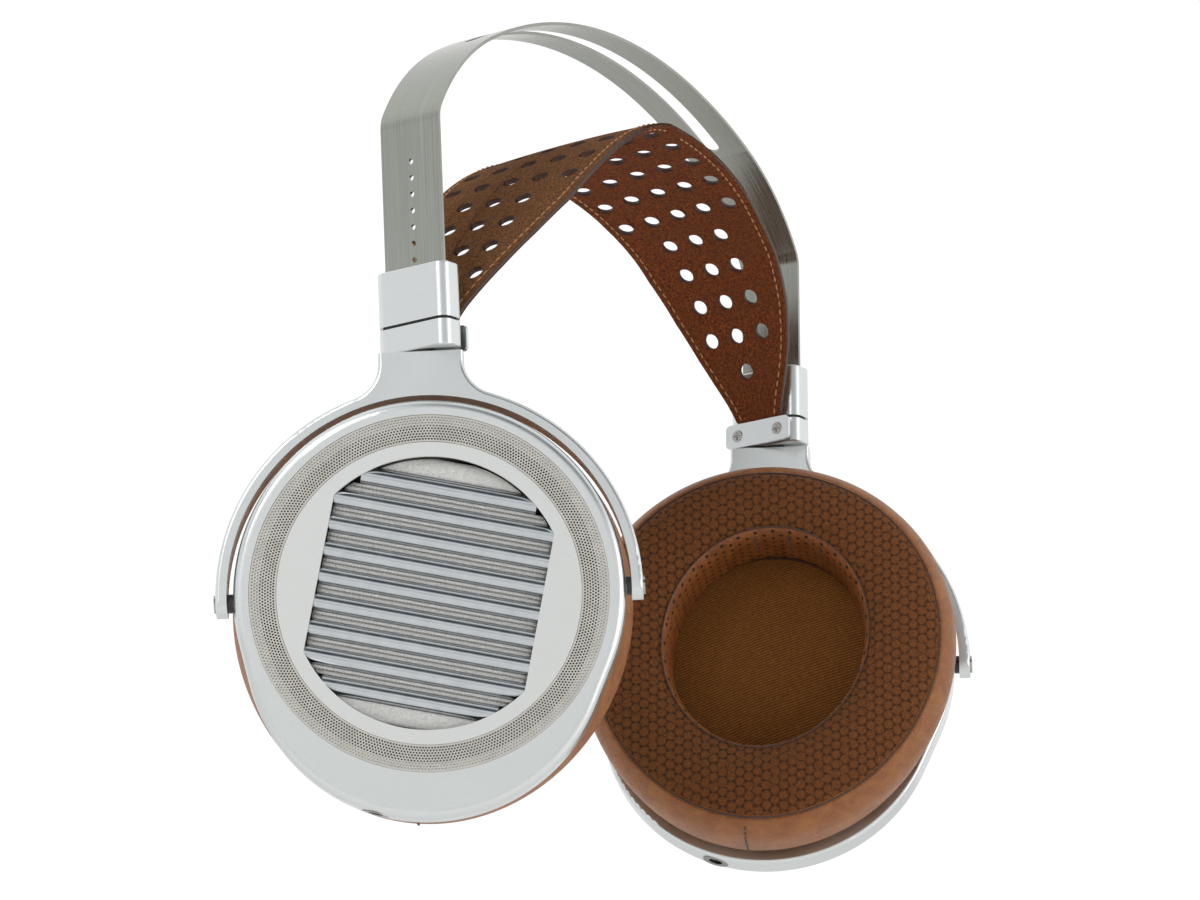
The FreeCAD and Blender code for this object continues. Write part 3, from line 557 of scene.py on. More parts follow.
def grille(side):
    """Sheet with its holes: per hole eight quads of web and eight of wall."""
    verts, faces = [], []
    width = (grille_outer - grille_inner - 2 * grille_border) / grille_rings
    hole_radius = width * grille_hole_share / 2
    spokes = 2 * grille_holes
    spoke = 2 * math.pi / spokes
    grille_back = grille_front - grille_depth

    def at(r, a, x):
        verts.append(cup[side] @ Vector((x, r * math.cos(a), r * math.sin(a))))
        return len(verts) - 1

    def edge_ring(r, x):
        return [at(r, spoke * k, x) for k in range(spokes)]

    edges = [edge_ring(grille_inner + grille_border + row * width, grille_front)
             for row in range(grille_rings + 1)]
    for row in range(grille_rings):
        lower, upper = edges[row], edges[row + 1]
        r = grille_inner + grille_border + (row + 0.5) * width
        stagger = row % 2
        mids = [at(r, spoke * (2 * k + stagger), grille_front) for k in range(grille_holes)]
        for k in range(grille_holes):
            i0 = (2 * k + stagger) % spokes
            i1, i2 = (i0 + 1) % spokes, (i0 + 2) % spokes
            rim = [lower[i0], lower[i1], lower[i2], mids[(k + 1) % grille_holes],
                   upper[i2], upper[i1], upper[i0], mids[k]]
            a = spoke * (2 * k + 1 + stagger)
            rings = []
            for x in (grille_front, grille_back):
                turns = [(j - 3) * math.pi / 4 for j in range(8)]
                rings.append([at(r + hole_radius * math.sin(t), a + hole_radius * math.cos(t) / r, x)
                              for t in turns])
            for j in range(8):
                n = (j + 1) % 8
                faces.append((rim[j], rim[n], rings[0][n], rings[0][j]))
                faces.append((rings[0][j], rings[0][n], rings[1][n], rings[1][j]))
    inner, outer = edge_ring(grille_inner, grille_front), edge_ring(grille_outer, grille_front)
    inner_low, outer_low = edge_ring(grille_inner, grille_back), edge_ring(grille_outer, grille_back)
    for a, b in ((inner, edges[0]), (edges[-1], outer), (inner_low, inner), (outer, outer_low)):
        for k in range(spokes):
            n = (k + 1) % spokes
            faces.append((a[k], a[n], b[n], b[k]))
    return verts, faces


# Etched stainless steel: warm grey-beige, dulled by the acid, with the maker's rolling streaks.
grille_steel, shader = finish("etched_stainless_sheet", "#C9C4BA", {"Metallic": 1.0})
place = add(grille_steel, "TexCoord", {})["Object"]
streak = add(grille_steel, "TexNoise", {"Scale": 300.0, "Detail": 3.0}, {"Vector": place})["Fac"]
tone = add(grille_steel, "Mix", {"data_type": "RGBA", 6: linear("#BDBAB2"), 7: linear("#DAD7D0")},
           {0: streak})[2]
rough = add(grille_steel, "MapRange", {"From Min": 0.3, "From Max": 0.7, "To Min": 0.32,
                                       "To Max": 0.48}, {"Value": streak})["Result"]
feed(grille_steel, shader, Base_Color=tone, Roughness=rough)

for side in SIDES:
    verts, faces = grille(side)
    mesh = bpy.data.meshes.new(side + "_grille")
    mesh.from_pydata([tuple(v) for v in verts], [], faces)
    mesh.materials.append(grille_steel)
    if side == "left":
        mesh.flip_normals()
    ring = bpy.data.objects.new(side + "_grille", mesh)
    bpy.context.scene.collection.objects.link(ring)
    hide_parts(side + "_grille_ring")
    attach(ring, side + "_cup")

# ---------------------------------------------------------------- magnet bars and their tray
# Nine round magnet bars, nickel plated and polished, lie in a black moulded tray and are
# glued down at their ends. The film's own frame behind them is the same black plastic.
bar_plating, shader = finish("polished_nickel_plating", "#C3C7CB", {"Metallic": 1.0})
place = add(bar_plating, "TexCoord", {})["Object"]
haze = add(bar_plating, "TexNoise", {"Scale": 250.0, "Detail": 3.0}, {"Vector": place})["Fac"]
rough = add(bar_plating, "MapRange", {"From Min": 0.3, "From Max": 0.7, "To Min": 0.10,
                                      "To Max": 0.2}, {"Value": haze})["Result"]
tone = add(bar_plating, "Mix", {"data_type": "RGBA", 6: linear("#B4B9BE"), 7: linear("#D0D3D6")},
           {0: haze})[2]
feed(bar_plating, shader, Base_Color=tone, Roughness=rough)
# The tray's black plastic carries slow pale patches about 18 mm long, seen through the grille's
# holes: painted light, so the holes show paler in places and darker in others.
tray_painted_light, shader = finish("black_tray_painted_light", "#2A2A2A", {"Roughness": 0.6})
place = add(tray_painted_light, "TexCoord", {})["Object"]
patch = add(tray_painted_light, "TexNoise", {"Scale": 55.0, "Detail": 1.0}, {"Vector": place})["Fac"]
patch = add(tray_painted_light, "MapRange", {"From Min": 0.42, "From Max": 0.56},
            {"Value": patch})["Result"]
# Pale patches in the black: painted light seen through the grille's holes.
tone = add(tray_painted_light, "Mix", {"data_type": "RGBA", 6: linear("#0E0E0E"), 7: linear("#8C8880")},
           {0: patch})[2]
feed(tray_painted_light, shader, Base_Color=tone)
for side in SIDES:
    paint(bar_plating, side + "_magnet_bars")
    paint(tray_painted_light, side + "_magnet_frame")
    paint(black_plastic, side + "_film_frame")

# ---------------------------------------------------------------- guard wires
# A pair of fine steel wires, twisted together, is strung along each gap between the bars to
# keep fingers off the film.
bar_count = 9
bar_pitch = 7.27 * MM
bar_lean = math.radians(13)
opening_radius = 37.4 * MM
opening_half_width = 30.4 * MM
strand_radius = 0.15 * MM
strand_offset = 0.15 * MM
twist_pitch = 2.0 * MM
twist_steps = 7
wire_height = 1.85 * MM
wire_clear = 0.7 * MM


def turned(y, z, angle):
    """A point of the cup's face turned about the outward axis."""
    c, s = math.cos(angle), math.sin(angle)
    return y * c - z * s, y * s + z * c


def leaning(x, y, z):
    """A point of the driver's parts, which lie turned a few degrees in the cup."""
    return Vector((x, *turned(y, z, bar_lean)))


# Drawn steel wire: mid grey, dull enough that each twist reads as a light and a dark dash.
guard_steel = blasted("twisted_steel_wire", "#B5B3AE", "#6E6B66", 0.3, 0.4)
for side in SIDES:
    verts, faces = [], []
    for gap in range(bar_count - 1):
        z = (gap - (bar_count - 2) / 2) * bar_pitch
        half = min(opening_half_width, math.sqrt(opening_radius ** 2 - (abs(z) + wire_clear) ** 2))
        steps = int(2 * half / (twist_pitch / twist_steps))
        for phase in (0, math.pi):
            path = []
            for k in range(steps + 1):
                y = -half + 2 * half * k / steps
                a = 2 * math.pi * y / twist_pitch + phase
                path.append(cup[side] @ leaning(wire_height + strand_offset * math.cos(a), y,
                                                z + strand_offset * math.sin(a)))
            tube_ends(verts, faces, path, strand_radius, 5)
    wires = piece(side + "_twisted_wires", verts, faces, [guard_steel])
    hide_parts(side + "_guard_wires")
    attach(wires, side + "_cup")

# ---------------------------------------------------------------- driver fleece and film
# A disc of white needled fleece damps the driver and swells up in ridges between the bars;
# behind it the coated film hangs in its ring.
fleece_radius = 38.4 * MM
fleece_front = -3.75 * MM
fleece_depth = 0.15 * MM
fleece_ripple = 0.05 * MM
ridge_base = -0.2 * MM
ridge_front = 1.0 * MM
ridge_swell = 0.4 * MM
ridge_half = 1.08 * MM
ridge_reach = opening_radius - 0.2 * MM
# The crescents past the end bars: from this far beyond a bar's middle, to this far from the rim.
crescent_start = 2.6 * MM
crescent_end = 0.6 * MM
# Needled polyester fleece: matt white, its fine fibres drawn 0.7 mm wide to show as a tangle.
white_fleece, shader = finish("needled_white_fleece", "#E9E8E4", {"Roughness": 0.95,
                                                                  "Sheen Weight": 0.3})
place = add(white_fleece, "TexCoord", {})["Object"]
tangle = add(white_fleece, "TexNoise", {"Scale": 1500.0, "Detail": 6.0, "Roughness": 0.75,
                                        "Distortion": 1.5}, {"Vector": place})["Fac"]
tangle = add(white_fleece, "MapRange", {"From Min": 0.35, "From Max": 0.6},
             {"Value": tangle})["Result"]
tone = add(white_fleece, "Mix", {"data_type": "RGBA", 6: linear("#CFCECA"), 7: linear("#F6F5F2")},
           {0: tangle})[2]
bump = add(white_fleece, "Bump", {"Strength": 0.7, "Distance": 0.0003}, {"Height": tangle})["Normal"]
feed(white_fleece, shader, Base_Color=tone, Normal=bump)
# Coated polyester film: clear yellowish, with the metal traces' dull gold.
film, shader = finish("coated_polyester_film", "#B8A270", {"Metallic": 0.6, "Roughness": 0.25})
place = add(film, "TexCoord", {})["Object"]
trace = add(film, "TexNoise", {"Scale": 120.0, "Detail": 2.0}, {"Vector": place})["Fac"]
tone = add(film, "Mix", {"data_type": "RGBA", 6: linear("#A48D5A"), 7: linear("#C9B583")}, {0: trace})[2]
feed(film, shader, Base_Color=tone)


def soft_disc(name, radius, front, depth, crown, waves, material, side):
    """A round of cloth, slightly crowned and rippled, closed at its back and rim."""
    rows, steps = 22, 96
    verts, faces = [], []
    for face_x in (front, front - depth):
        verts.append(cup[side] @ Vector((face_x + crown, 0, 0)))
        for row in range(1, rows + 1):
            r = radius * row / rows
            for k in range(steps):
                a = 2 * math.pi * k / steps
                ripple = waves * math.sin(3 * a + r * 140) * math.sin(r / radius * math.pi)
                x = face_x + crown * (1 - (r / radius) ** 2) + ripple
                verts.append(cup[side] @ Vector((x, r * math.cos(a), r * math.sin(a))))
    size = 1 + rows * steps
    for start in (0, size):
        for k in range(steps):
            n = (k + 1) % steps
            faces.append((start, start + 1 + k, start + 1 + n))
            for row in range(rows - 1):
                a = start + 1 + row * steps
                faces.append((a + k, a + steps + k, a + steps + n, a + n))
    last = 1 + (rows - 1) * steps
    for k in range(steps):
        n = (k + 1) % steps
        faces.append((last + k, size + last + k, size + last + n, last + n))
    return piece(name, verts, faces, [material])


def fleece_ridge(side, z0, z1, verts, faces):
    """Adds the fleece that swells up between two bars, or past the last one."""
    start, steps, rows = len(verts), 40, 6
    for base, rise in ((ridge_base, 0.0), (ridge_front, ridge_swell)):
        for row in range(rows + 1):
            z = z0 + (z1 - z0) * row / rows
            half = min(opening_half_width - 0.2 * MM, math.sqrt(ridge_reach ** 2 - z * z))
            for k in range(steps + 1):
                y = half * (2 * k / steps - 1)
                lumps = 1 + 0.3 * math.sin(y * 1900 + z * 700)
                x = base + rise * math.sin(math.pi * row / rows) * lumps
                verts.append(cup[side] @ leaning(x, y, z))
    layer = (rows + 1) * (steps + 1)
    for row in range(rows):
        for k in range(steps):
            a = start + row * (steps + 1) + k
            low = (a, a + 1, a + steps + 2, a + steps + 1)
            faces.append(low)
            faces.append(tuple(v + layer for v in low))
    rim = [start + k for k in range(steps + 1)]
    rim += [start + row * (steps + 1) + steps for row in range(1, rows + 1)]
    rim += [start + rows * (steps + 1) + k for k in range(steps - 1, -1, -1)]
    rim += [start + row * (steps + 1) for row in range(rows - 1, 0, -1)]
    for a, b in zip(rim, rim[1:] + rim[:1]):
        faces.append((a, b, b + layer, a + layer))


for side in SIDES:
    paint(film, side + "_driver_film")
    verts, faces = [], []
    for gap in range(bar_count - 1):
        z = (gap - (bar_count - 2) / 2) * bar_pitch
        fleece_ridge(side, z - ridge_half, z + ridge_half, verts, faces)
    past_last = (bar_count - 1) / 2 * bar_pitch + crescent_start
    rim_end = opening_radius - crescent_end
    for z0, z1 in ((past_last, rim_end), (-rim_end, -past_last)):
        fleece_ridge(side, z0, z1, verts, faces)
    ridges = piece(side + "_fleece_ridges", verts, faces, [white_fleece])
    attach(ridges, side + "_cup")
    disc = soft_disc(side + "_driver_fleece", fleece_radius, fleece_front, fleece_depth, 0.0,
                     fleece_ripple, white_fleece, side)
    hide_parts(side + "_fleece")
    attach(disc, side + "_cup")

# ---------------------------------------------------------------- baffle and pad ring
# The baffle closes the ear side and carries the pad on a clip ring; the baffle is moulded in
# black plastic, the ring in a brown plastic that shows only as a thin line behind the pad.
brown_plastic = moulded("moulded_brown_plastic", "#4A3222", "#3A2618", 0.5)
for side in SIDES:
    paint(brown_plastic, side + "_pad_ring")
    paint(black_plastic, side + "_baffle")
    paint(fixing_steel, side + "_baffle_screws")

# ---------------------------------------------------------------- driver cloth
# A round of brown twill is stretched over the driver inside the pad, its hem tucked under and
# glued to the baffle; it sags a little in the middle.
cloth_radius = 34 * MM
cloth_hem = 0.3 * MM
cloth_front = -7.22 * MM
cloth_depth = 0.3 * MM
cloth_sag = 1.2 * MM
cloth_ripple = 0.12 * MM
# Cotton twill: diagonal ribs, real ones 0.4 mm apart and drawn 0.7 mm apart to show, with
# slubs; matt, with a faint sheen.
brown_twill, shader = finish("brown_cotton_twill", "#754A24", {"Roughness": 0.85, "Sheen Weight": 0.05,
                                                              "Specular IOR Level": 0.2})
place = add(brown_twill, "TexCoord", {})["Object"]
ribs = add(brown_twill, "TexWave", {"bands_direction": "DIAGONAL", "Scale": 640.0, "Distortion": 2.5,
                                    "Detail": 3.0, "Detail Scale": 3.0}, {"Vector": place})["Fac"]
slub = add(brown_twill, "TexNoise", {"Scale": 1400.0, "Detail": 4.0}, {"Vector": place})["Fac"]
both = add(brown_twill, "Math", {"operation": "MULTIPLY"}, {0: ribs, 1: slub})[0]
tone = add(brown_twill, "Mix", {"data_type": "RGBA", 6: linear("#55300F"), 7: linear("#B0712F")},
           {0: both})[2]
bump = add(brown_twill, "Bump", {"Strength": 0.5, "Distance": 0.0003}, {"Height": both})["Normal"]
feed(brown_twill, shader, Base_Color=tone, Normal=bump)
for side in SIDES:
    cloth = soft_disc(side + "_ear_cloth", cloth_radius - cloth_hem, cloth_front, cloth_depth,
                      -cloth_sag, cloth_ripple, brown_twill, side)
    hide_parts(side + "_driver_cloth")
    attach(cloth, side + "_cup")

# ---------------------------------------------------------------- ear pads
# Each pad is a foam ring sewn into three skins: a leather outer wall, a honeycomb knit on the
# face and a perforated leather inner wall. Each skin swells between its seams.
pad_lean = math.radians(6)
pad_open_y = 29.8 * MM
pad_open_z = 34.0 * MM
pad_chin = 5.0 * MM
pad_steps = 192
# The wall, ring by ring from the cup out to the face seam: depth, radius and how much further
# it stands out at the chin, mm.
wall_rings = [(-8.62, 51.6, 0.7), (-9.5, 51.9, 2.0), (-11.5, 52.2, 2.7), (-14, 52.8, 2.4),
              (-17, 54.3, 1.1), (-20, 55.1, 0.2), (-23, 55.0, 0.0), (-25.8, 54.1, 0.0),
              (-28.0, 52.6, 0.0), (-29.2, 51.3, 0.0), (-28.4, 50.7, 0.0)]
# The face: depth, mm, and the share of the way from the face seam in to the ear opening.
face_rings = [(-29.3, 0.0), (-29.9, 0.03), (-30.5, 0.08), (-30.9, 0.16), (-31.0, 0.27),
              (-31.2, 0.40), (-31.2, 0.54), (-30.9, 0.68), (-30.3, 0.8), (-29.3, 0.91)]
# The inner wall, back to the cup: depth, mm, and its share of the ear opening.
inner_rings = [(-28.0, 1.0), (-27.0, 0.975), (-25, 0.955), (-22, 0.945), (-18.5, 0.945),
               (-15, 0.945), (-12, 0.945), (-9.4, 0.945), (-8.8, 0.95)]
ring_total = len(wall_rings) + len(face_rings) + len(inner_rings)
seam_radius = 50.2
# The wall's outside, as depths and radii, down to where it turns in under the face seam.
wall_depths = [-ring[0] for ring in wall_rings[:10]]
wall_radii = [ring[1] + ring[2] for ring in wall_rings[:10]]
# Radii, mm, that the wall's and the inner wall's leather are laid flat from.
wall_girth, inner_girth = 54, 30
pad_give = 0.5 * MM


def pad_outside(radius, a):
    """The pad's egg outline: round above, drawn down towards the chin."""
    y, z = radius * MM * math.cos(a), radius * MM * math.sin(a)
    return turned(y, z - pad_chin * ((1 - math.sin(a)) / 2) ** 3, pad_lean)


def pad_inside(share, a):
    """The oval opening for the ear."""
    return turned(pad_open_y * share * math.cos(a), pad_open_z * share * math.sin(a), bar_lean)


def pad_ring_points(k):
    """Ring k of the pad's section: its depth, its shape by angle, and which skin it is."""
    if k < len(wall_rings):
        x, r, more = wall_rings[k]
        return x, (lambda a: pad_outside(r + more * max(0.0, -math.sin(a)), a)), 0
    k -= len(wall_rings)
    if k < len(face_rings):
        x, t = face_rings[k]

        def across(a):
            outer, inner = pad_outside(seam_radius, a), pad_inside(1.0, a)
            return outer[0] * (1 - t) + inner[0] * t, outer[1] * (1 - t) + inner[1] * t
        return x, across, 1
    x, share = inner_rings[k - len(face_rings)]
    return x, (lambda a: pad_inside(share, a)), 2


def lattice(mat, spacing, source):
    """Rounded honeycomb height: three crossing waves, one peak per cell."""
    pull = 4 * math.pi / (math.sqrt(3) * spacing)
    waves = []
    for turn in (0, 60, 120):
        way = (pull * math.cos(math.radians(turn)), pull * math.sin(math.radians(turn)), 0)
        along = add(mat, "VectorMath", {"operation": "DOT_PRODUCT", 1: way}, {0: source})["Value"]
        waves.append(add(mat, "Math", {"operation": "COSINE"}, {0: along})[0])
    pair = add(mat, "Math", {"operation": "ADD"}, {0: waves[0], 1: waves[1]})[0]
    return add(mat, "Math", {"operation": "ADD"}, {0: pair, 1: waves[2]})[0]


def hide(name, light, dark, spacing):
    """Tanned leather: 0.9 mm pebbles, creases about 5 mm long drawn darker, the leather's own uneven
    colour with painted shade in the creases, and vents painted near black as shade if a spacing is given."""
    mat, shader = finish(name, light, {"Roughness": 0.45, "Specular IOR Level": 0.45,
                                       "Coat Weight": 0.1, "Coat Roughness": 0.35})
    place = add(mat, "TexCoord", {})
    pebble = add(mat, "TexVoronoi", {"feature": "DISTANCE_TO_EDGE", "Scale": 1100.0},
                 {"Vector": place["Object"]})["Distance"]
    pebble = add(mat, "MapRange", {"From Min": 0.0, "From Max": 0.25}, {"Value": pebble})["Result"]
    crease_and_shade = add(mat, "TexNoise", {"Scale": 180.0, "Detail": 6.0, "Distortion": 0.8},
                 {"Vector": place["Object"]})["Fac"]
    crease_and_shade = add(mat, "MapRange", {"From Min": 0.35, "From Max": 0.65}, {"Value": crease_and_shade})["Result"]
    # Darker in the creases: the leather's uneven tone with painted shade in them.
    tone = add(mat, "Mix", {"data_type": "RGBA", 6: linear(dark), 7: linear(light)}, {0: crease_and_shade})[2]
    height = add(mat, "Math", {"operation": "ADD"}, {0: pebble, 1: crease_and_shade})[0]
    if spacing:
        cells = lattice(mat, spacing, place["UV"])
        vent = add(mat, "MapRange", {"From Min": 1.7, "From Max": 2.1}, {"Value": cells})["Result"]
        # The vents are painted near black: painted shade in the holes.
        tone = add(mat, "Mix", {"data_type": "RGBA", 7: linear("#1C0F07")}, {0: vent, 6: tone})[2]
        height = add(mat, "Math", {"operation": "SUBTRACT"}, {0: height, 1: vent})[0]
    bump = add(mat, "Bump", {"Strength": 0.5, "Distance": 0.0003}, {"Height": height})["Normal"]
    feed(mat, shader, Base_Color=tone, Normal=bump)
    return mat


# Tan sheepskin: a warm brown with a soft low shine; the inner wall is pierced every 3 mm, the
# vents painted near black as shade.
pad_leather = hide("tan_sheepskin", "#935B29", "#824A1C", 0)
pad_vented = hide("tan_sheepskin_perforated", "#8F5427", "#77421B", 3.0)
# Honeycomb knit: 3 mm cells that stand up softly, painted shade in the open slots between them, yarn 0.4 mm.
pad_knit, shader = finish("honeycomb_knit_brown", "#7D5129", {"Roughness": 0.85, "Sheen Weight": 0.05,
                                                              "Specular IOR Level": 0.2})
place = add(pad_knit, "TexCoord", {})
wobble = add(pad_knit, "TexNoise", {"Scale": 0.25, "Detail": 2.0}, {"Vector": place["UV"]})["Color"]
pulled = add(pad_knit, "VectorMath", {"operation": "MULTIPLY_ADD", 1: (0.7, 0.7, 0)},
             {0: wobble, 2: place["UV"]})["Vector"]
cells = lattice(pad_knit, 2.9, pulled)
walls = add(pad_knit, "MapRange", {"From Min": -1.5, "From Max": -0.4}, {"Value": cells})["Result"]
closed = add(pad_knit, "TexNoise", {"Scale": 0.7, "Detail": 1.0}, {"Vector": place["UV"]})["Fac"]
closed = add(pad_knit, "MapRange", {"From Min": 0.52, "From Max": 0.66}, {"Value": closed})["Result"]
walls = add(pad_knit, "Math", {"operation": "MAXIMUM"}, {0: walls, 1: closed})[0]
yarn = add(pad_knit, "TexNoise", {"Scale": 2600.0, "Detail": 3.0},
           {"Vector": place["Object"]})["Fac"]
yarn = add(pad_knit, "MapRange", {"From Min": 0.3, "From Max": 0.7}, {"Value": yarn})["Result"]
tone = add(pad_knit, "Mix", {"data_type": "RGBA", 6: linear("#502B12"), 7: linear("#7C4A22")},
           {0: yarn})[2]
# Near black in the open slots: painted shade.
tone = add(pad_knit, "Mix", {"data_type": "RGBA", 6: linear("#38200C")}, {0: walls, 7: tone})[2]
height = add(pad_knit, "Math", {"operation": "MULTIPLY_ADD", 1: 0.2}, {0: yarn, 2: walls})[0]
bump = add(pad_knit, "Bump", {"Strength": 0.6, "Distance": 0.0006}, {"Height": height})["Normal"]
feed(pad_knit, shader, Base_Color=tone, Normal=bump)
# Seam thread: dark brown, sunk between the skins.
pad_thread = thread("dark_seam_thread", "#4B2A14", "#331A0B")


def pad_mesh(side):
    """The pad as one closed skin: rings round the section, joined round the cup."""
    verts, faces, marks, uvs = [], [], [], []
    skins = []
    for k in range(ring_total):
        x, where, skin = pad_ring_points(k)
        skins.append(skin)
        for j in range(pad_steps):
            y, z = where(2 * math.pi * j / pad_steps)
            verts.append(cup[side] @ Vector((x * MM, y, z)))
    for k in range(ring_total):
        nxt = (k + 1) % ring_total
        x0, where0, _ = pad_ring_points(k)
        x1, where1, _ = pad_ring_points(nxt)
        for j in range(pad_steps):
            n = j + 1
            faces.append((k * pad_steps + j, k * pad_steps + n % pad_steps,
                          nxt * pad_steps + n % pad_steps, nxt * pad_steps + j))
            corner = []
            for x, where, step in ((x0, where0, j), (x0, where0, n), (x1, where1, n), (x1, where1, j)):
                a = 2 * math.pi * step / pad_steps
                if skins[k] == 1:
                    y, z = where(a)
                    corner.append((y / MM, z / MM))
                else:
                    corner.append((a * (inner_girth if skins[k] == 2 else wall_girth), x))
            uvs.append(corner)
            marks.append(skins[k])
    return verts, faces, marks, uvs


def swell(obj, pins):
    """Fills the sewn skin: cloth under a little pressure, held at its seams, its give capped."""
    start = [v.co.copy() for v in obj.data.vertices]
    group = obj.vertex_groups.new(name="seams")
    group.add(pins, 1.0, "REPLACE")
    cloth = obj.modifiers.new("skin", "CLOTH")
    cloth.settings.quality = 4
    cloth.settings.mass = 0.3
    cloth.settings.tension_stiffness = 8
    cloth.settings.compression_stiffness = 8
    cloth.settings.bending_stiffness = 0.4
    cloth.settings.vertex_group_mass = "seams"
    cloth.settings.use_pressure = True
    cloth.settings.uniform_pressure_force = 4
    cloth.settings.effector_weights.gravity = 0
    for step in range(1, 16):
        bpy.context.scene.frame_set(step)
    shaped = obj.evaluated_get(bpy.context.evaluated_depsgraph_get()).data
    ends = [v.co.copy() for v in shaped.vertices]
    obj.modifiers.clear()
    bpy.context.scene.frame_set(1)
    for vert, a, b in zip(obj.data.vertices, start, ends):
        shift = b - a
        if shift.length > pad_give:
            shift = shift.normalized() * pad_give
        vert.co = a + shift
    obj.vertex_groups.clear()


def seam_run(side, depth, where, pitch, radius, verts, faces):
    """A round of short stitches lying along a seam, each one pitch degrees long."""
    points = [Vector((depth, *where(math.radians(k)))) for k in range(360)]
    for k in range(0, 360, pitch):
        path = [cup[side] @ points[(k + i) % 360] for i in range(pitch + 1)]
        tube_ends(verts, faces, path, radius, 5)


for side in SIDES:
    verts, faces, marks, uvs = pad_mesh(side)
    pad = piece(side + "_pad", verts, faces, [pad_leather, pad_knit, pad_vented], marks, True, uvs)
    seams = [0, len(wall_rings) - 1, len(wall_rings) + len(face_rings), ring_total - 1]
    pins = [k * pad_steps + j for k in seams for j in range(pad_steps)]
    pins += [k * pad_steps + round(0.75 * pad_steps) for k in range(len(wall_rings))]
    swell(pad, pins)
    smooth = pad.modifiers.new("smooth", "SUBSURF")
    smooth.levels = 1
    smooth.render_levels = 1
    verts, faces = [], []
    seam_run(side, -29.05 * MM, lambda a: pad_outside(50.7, a), 9, 0.25 * MM, verts, faces)
    seam_run(side, -28.65 * MM, lambda a: pad_inside(1.005, a), 6, 0.2 * MM, verts, faces)
    # The wall is closed by a row of stitches down its chin, 1.9 mm apart.
    for x0 in np.arange(-27.5, -10.5, 1.9):
        path = []
        for i in range(4):
            x = x0 + 0.5 * i
            r = float(np.interp(-x, wall_depths, wall_radii)) + 0.25
            path.append(cup[side] @ Vector((x * MM, *pad_outside(r, 1.5 * math.pi))))
        tube_ends(verts, faces, path, 0.28 * MM, 5)
    # Three corded pleats take up the inner wall above the ear.
    for pleat in (1.2, 1.55, 1.9):
        path = [cup[side] @ Vector((x * MM, *pad_inside(0.956, pleat))) for x in range(-26, -9, 3)]
        tube_ends(verts, faces, path, 0.45 * MM, 6)
    thread_piece = piece(side + "_pad_stitches", verts, faces, [pad_thread])
    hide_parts(side + "_ear_pad")
    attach(pad, side + "_cup")
    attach(thread_piece, side + "_cup")

# ---------------------------------------------------------------- sockets and leads
# Each cup takes its lead through a metal socket in a dark turned bezel at the chin; two
# sleeved leads run from it to the film inside.
# Thin gold flash over nickel: pale yellow and bright.
socket_metal = blasted("gold_flashed_socket", "#F0E3BE", "#DCC890", 0.15, 0.25)
# Black nickel: a mid grey mirror, darker than the shell round it.
dark_metal = blasted("black_nickel_bezel", "#8B8987", "#6A6866", 0.22, 0.32)
# Dark brown sleeve on the leads, matt.
lead_sleeve = moulded("braided_lead_sleeve", "#4A423B", "#2E2824", 0.7)
for side in SIDES:
    paint(socket_metal, side + "_jack_socket")
    paint(dark_metal, side + "_jack_bezel")
    paint(lead_sleeve, side + "_leads")

# ---------------------------------------------------------------- room, lights and camera
# A pale floor far below, a white room with one grey wall above the camera for the metal to
# mirror, two soft lamps, and a long lens from a little below the cups.
floor_drop = 0.45
floor_reach = 60.0
room_centre = Vector((0, 0, -0.09))
azimuth, elevation, roll = math.radians(-55.173), math.radians(-15.385), math.radians(-1.34)
distance = 1.7
back = Vector((math.sin(azimuth) * math.cos(elevation), -math.cos(azimuth) * math.cos(elevation),
               math.sin(elevation)))
level = Vector((math.cos(azimuth), math.sin(azimuth), 0))
rise = back.cross(level)
right = level * math.cos(roll) + rise * math.sin(roll)
above = rise * math.cos(roll) - level * math.sin(roll)

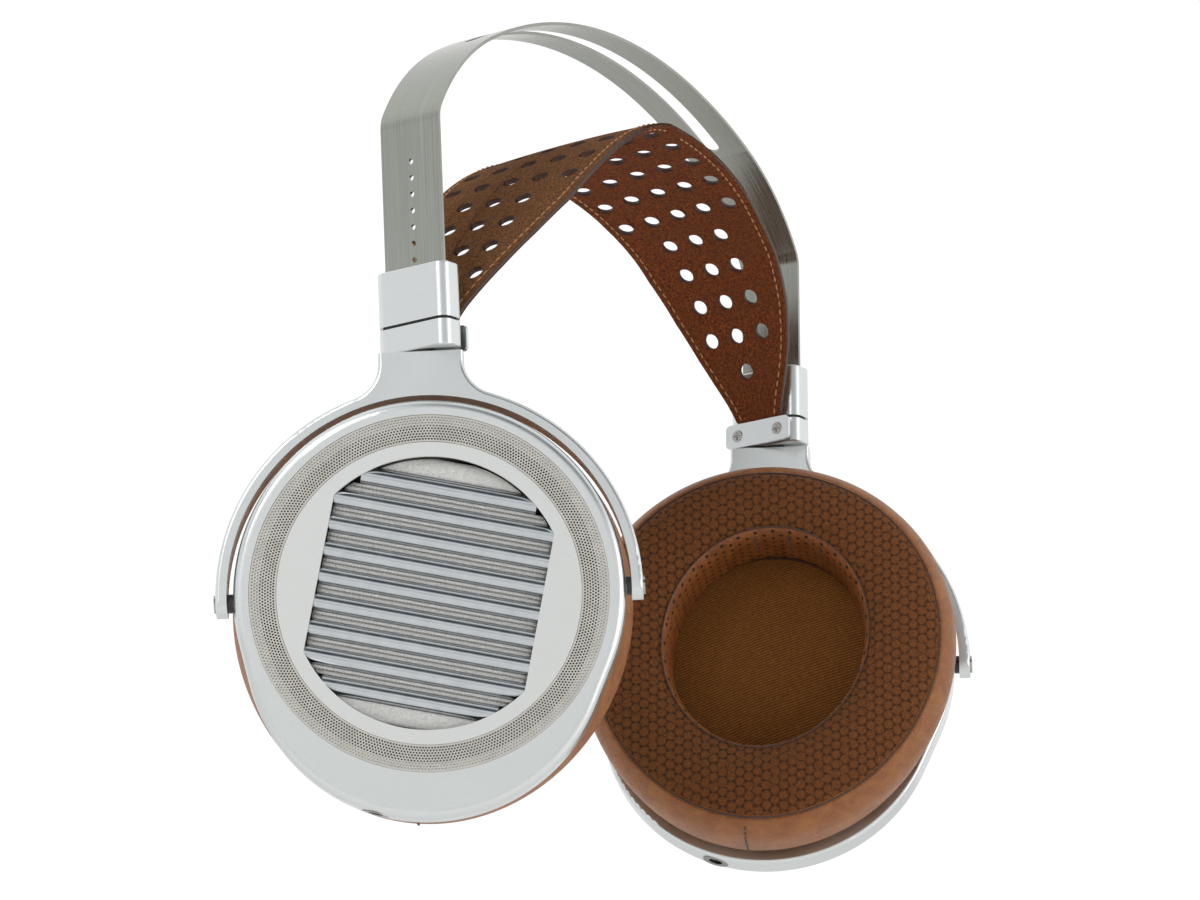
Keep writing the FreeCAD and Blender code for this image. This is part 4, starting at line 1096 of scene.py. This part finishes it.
# Emulsion paint: near white and quite flat, with barely a fleck.
floor_mat, shader = finish("pale_painted_floor", "#F2F2F0", {"Roughness": 0.9})
place = add(floor_mat, "TexCoord", {})["Object"]
speck = add(floor_mat, "TexNoise", {"Scale": 400.0, "Detail": 2.0}, {"Vector": place})["Fac"]
tone = add(floor_mat, "Mix", {"data_type": "RGBA", 6: linear("#EEEEEC"), 7: linear("#F5F5F3")},
           {0: speck})[2]
feed(floor_mat, shader, Base_Color=tone)
ways = ((-1, -1), (1, -1), (1, 1), (-1, 1))
corners = [(floor_reach * x, floor_reach * y, cad_box[0].z - floor_drop) for x, y in ways]
floor = piece("floor", corners, [(0, 1, 2, 3)], [floor_mat], smooth=False)
if floor.data.polygons[0].normal.z < 0:
    floor.data.flip_normals()

world = bpy.data.worlds.new("white_room")
world.use_nodes = True
bpy.context.scene.world = world
sky = world.node_tree.nodes["Background"]
place = add(world, "TexCoord", {})["Generated"]
parts = add(world, "SeparateXYZ", {}, {"Vector": place})
facing = add(world, "VectorMath", {"operation": "DOT_PRODUCT", 1: tuple(back)}, {0: place})["Value"]
near = add(world, "MapRange", {"From Min": 0.0, "From Max": 0.45}, {"Value": facing})["Result"]
high = add(world, "MapRange", {"From Min": 0.14, "From Max": 0.45}, {"Value": parts["Z"]})["Result"]
wall = add(world, "Math", {"operation": "MULTIPLY"}, {0: near, 1: high})[0]
tone = add(world, "Mix", {"data_type": "RGBA", 6: (1, 1, 1, 1), 7: linear("#4F5557")},
           {0: wall})[2]
world.node_tree.links.new(tone, sky.inputs["Color"])
sky.inputs["Strength"].default_value = 1.05


def lamp(name, offset, size, power):
    """A soft square lamp turned to the object."""
    data = bpy.data.lights.new(name, "AREA")
    data.size = size
    data.energy = power
    obj = bpy.data.objects.new(name, data)
    bpy.context.scene.collection.objects.link(obj)
    away = right * offset[0] + above * offset[1] + back * offset[2]
    aim = away.to_track_quat("Z", "Y").to_matrix().to_4x4()
    obj.matrix_world = Matrix.Translation(room_centre + away) @ aim


lamp("key", (-0.8, 1.1, 1.0), 0.7, 7)
lamp("side", (1.3, 0.2, 0.6), 0.8, 5)

lens = bpy.data.cameras.new("camera")
lens.lens = 179.0
lens.sensor_width = 36.0
lens.clip_end = 30
camera = bpy.data.objects.new("camera", lens)
bpy.context.scene.collection.objects.link(camera)
spot = room_centre + back * distance - right * (1.05 * MM) + above * (0.23 * MM)
turn = Matrix((right, above, back)).transposed().to_4x4()
camera.matrix_world = Matrix.Translation(spot) @ turn
bpy.context.scene.camera = camera
bpy.context.scene.view_settings.view_transform = "Standard"
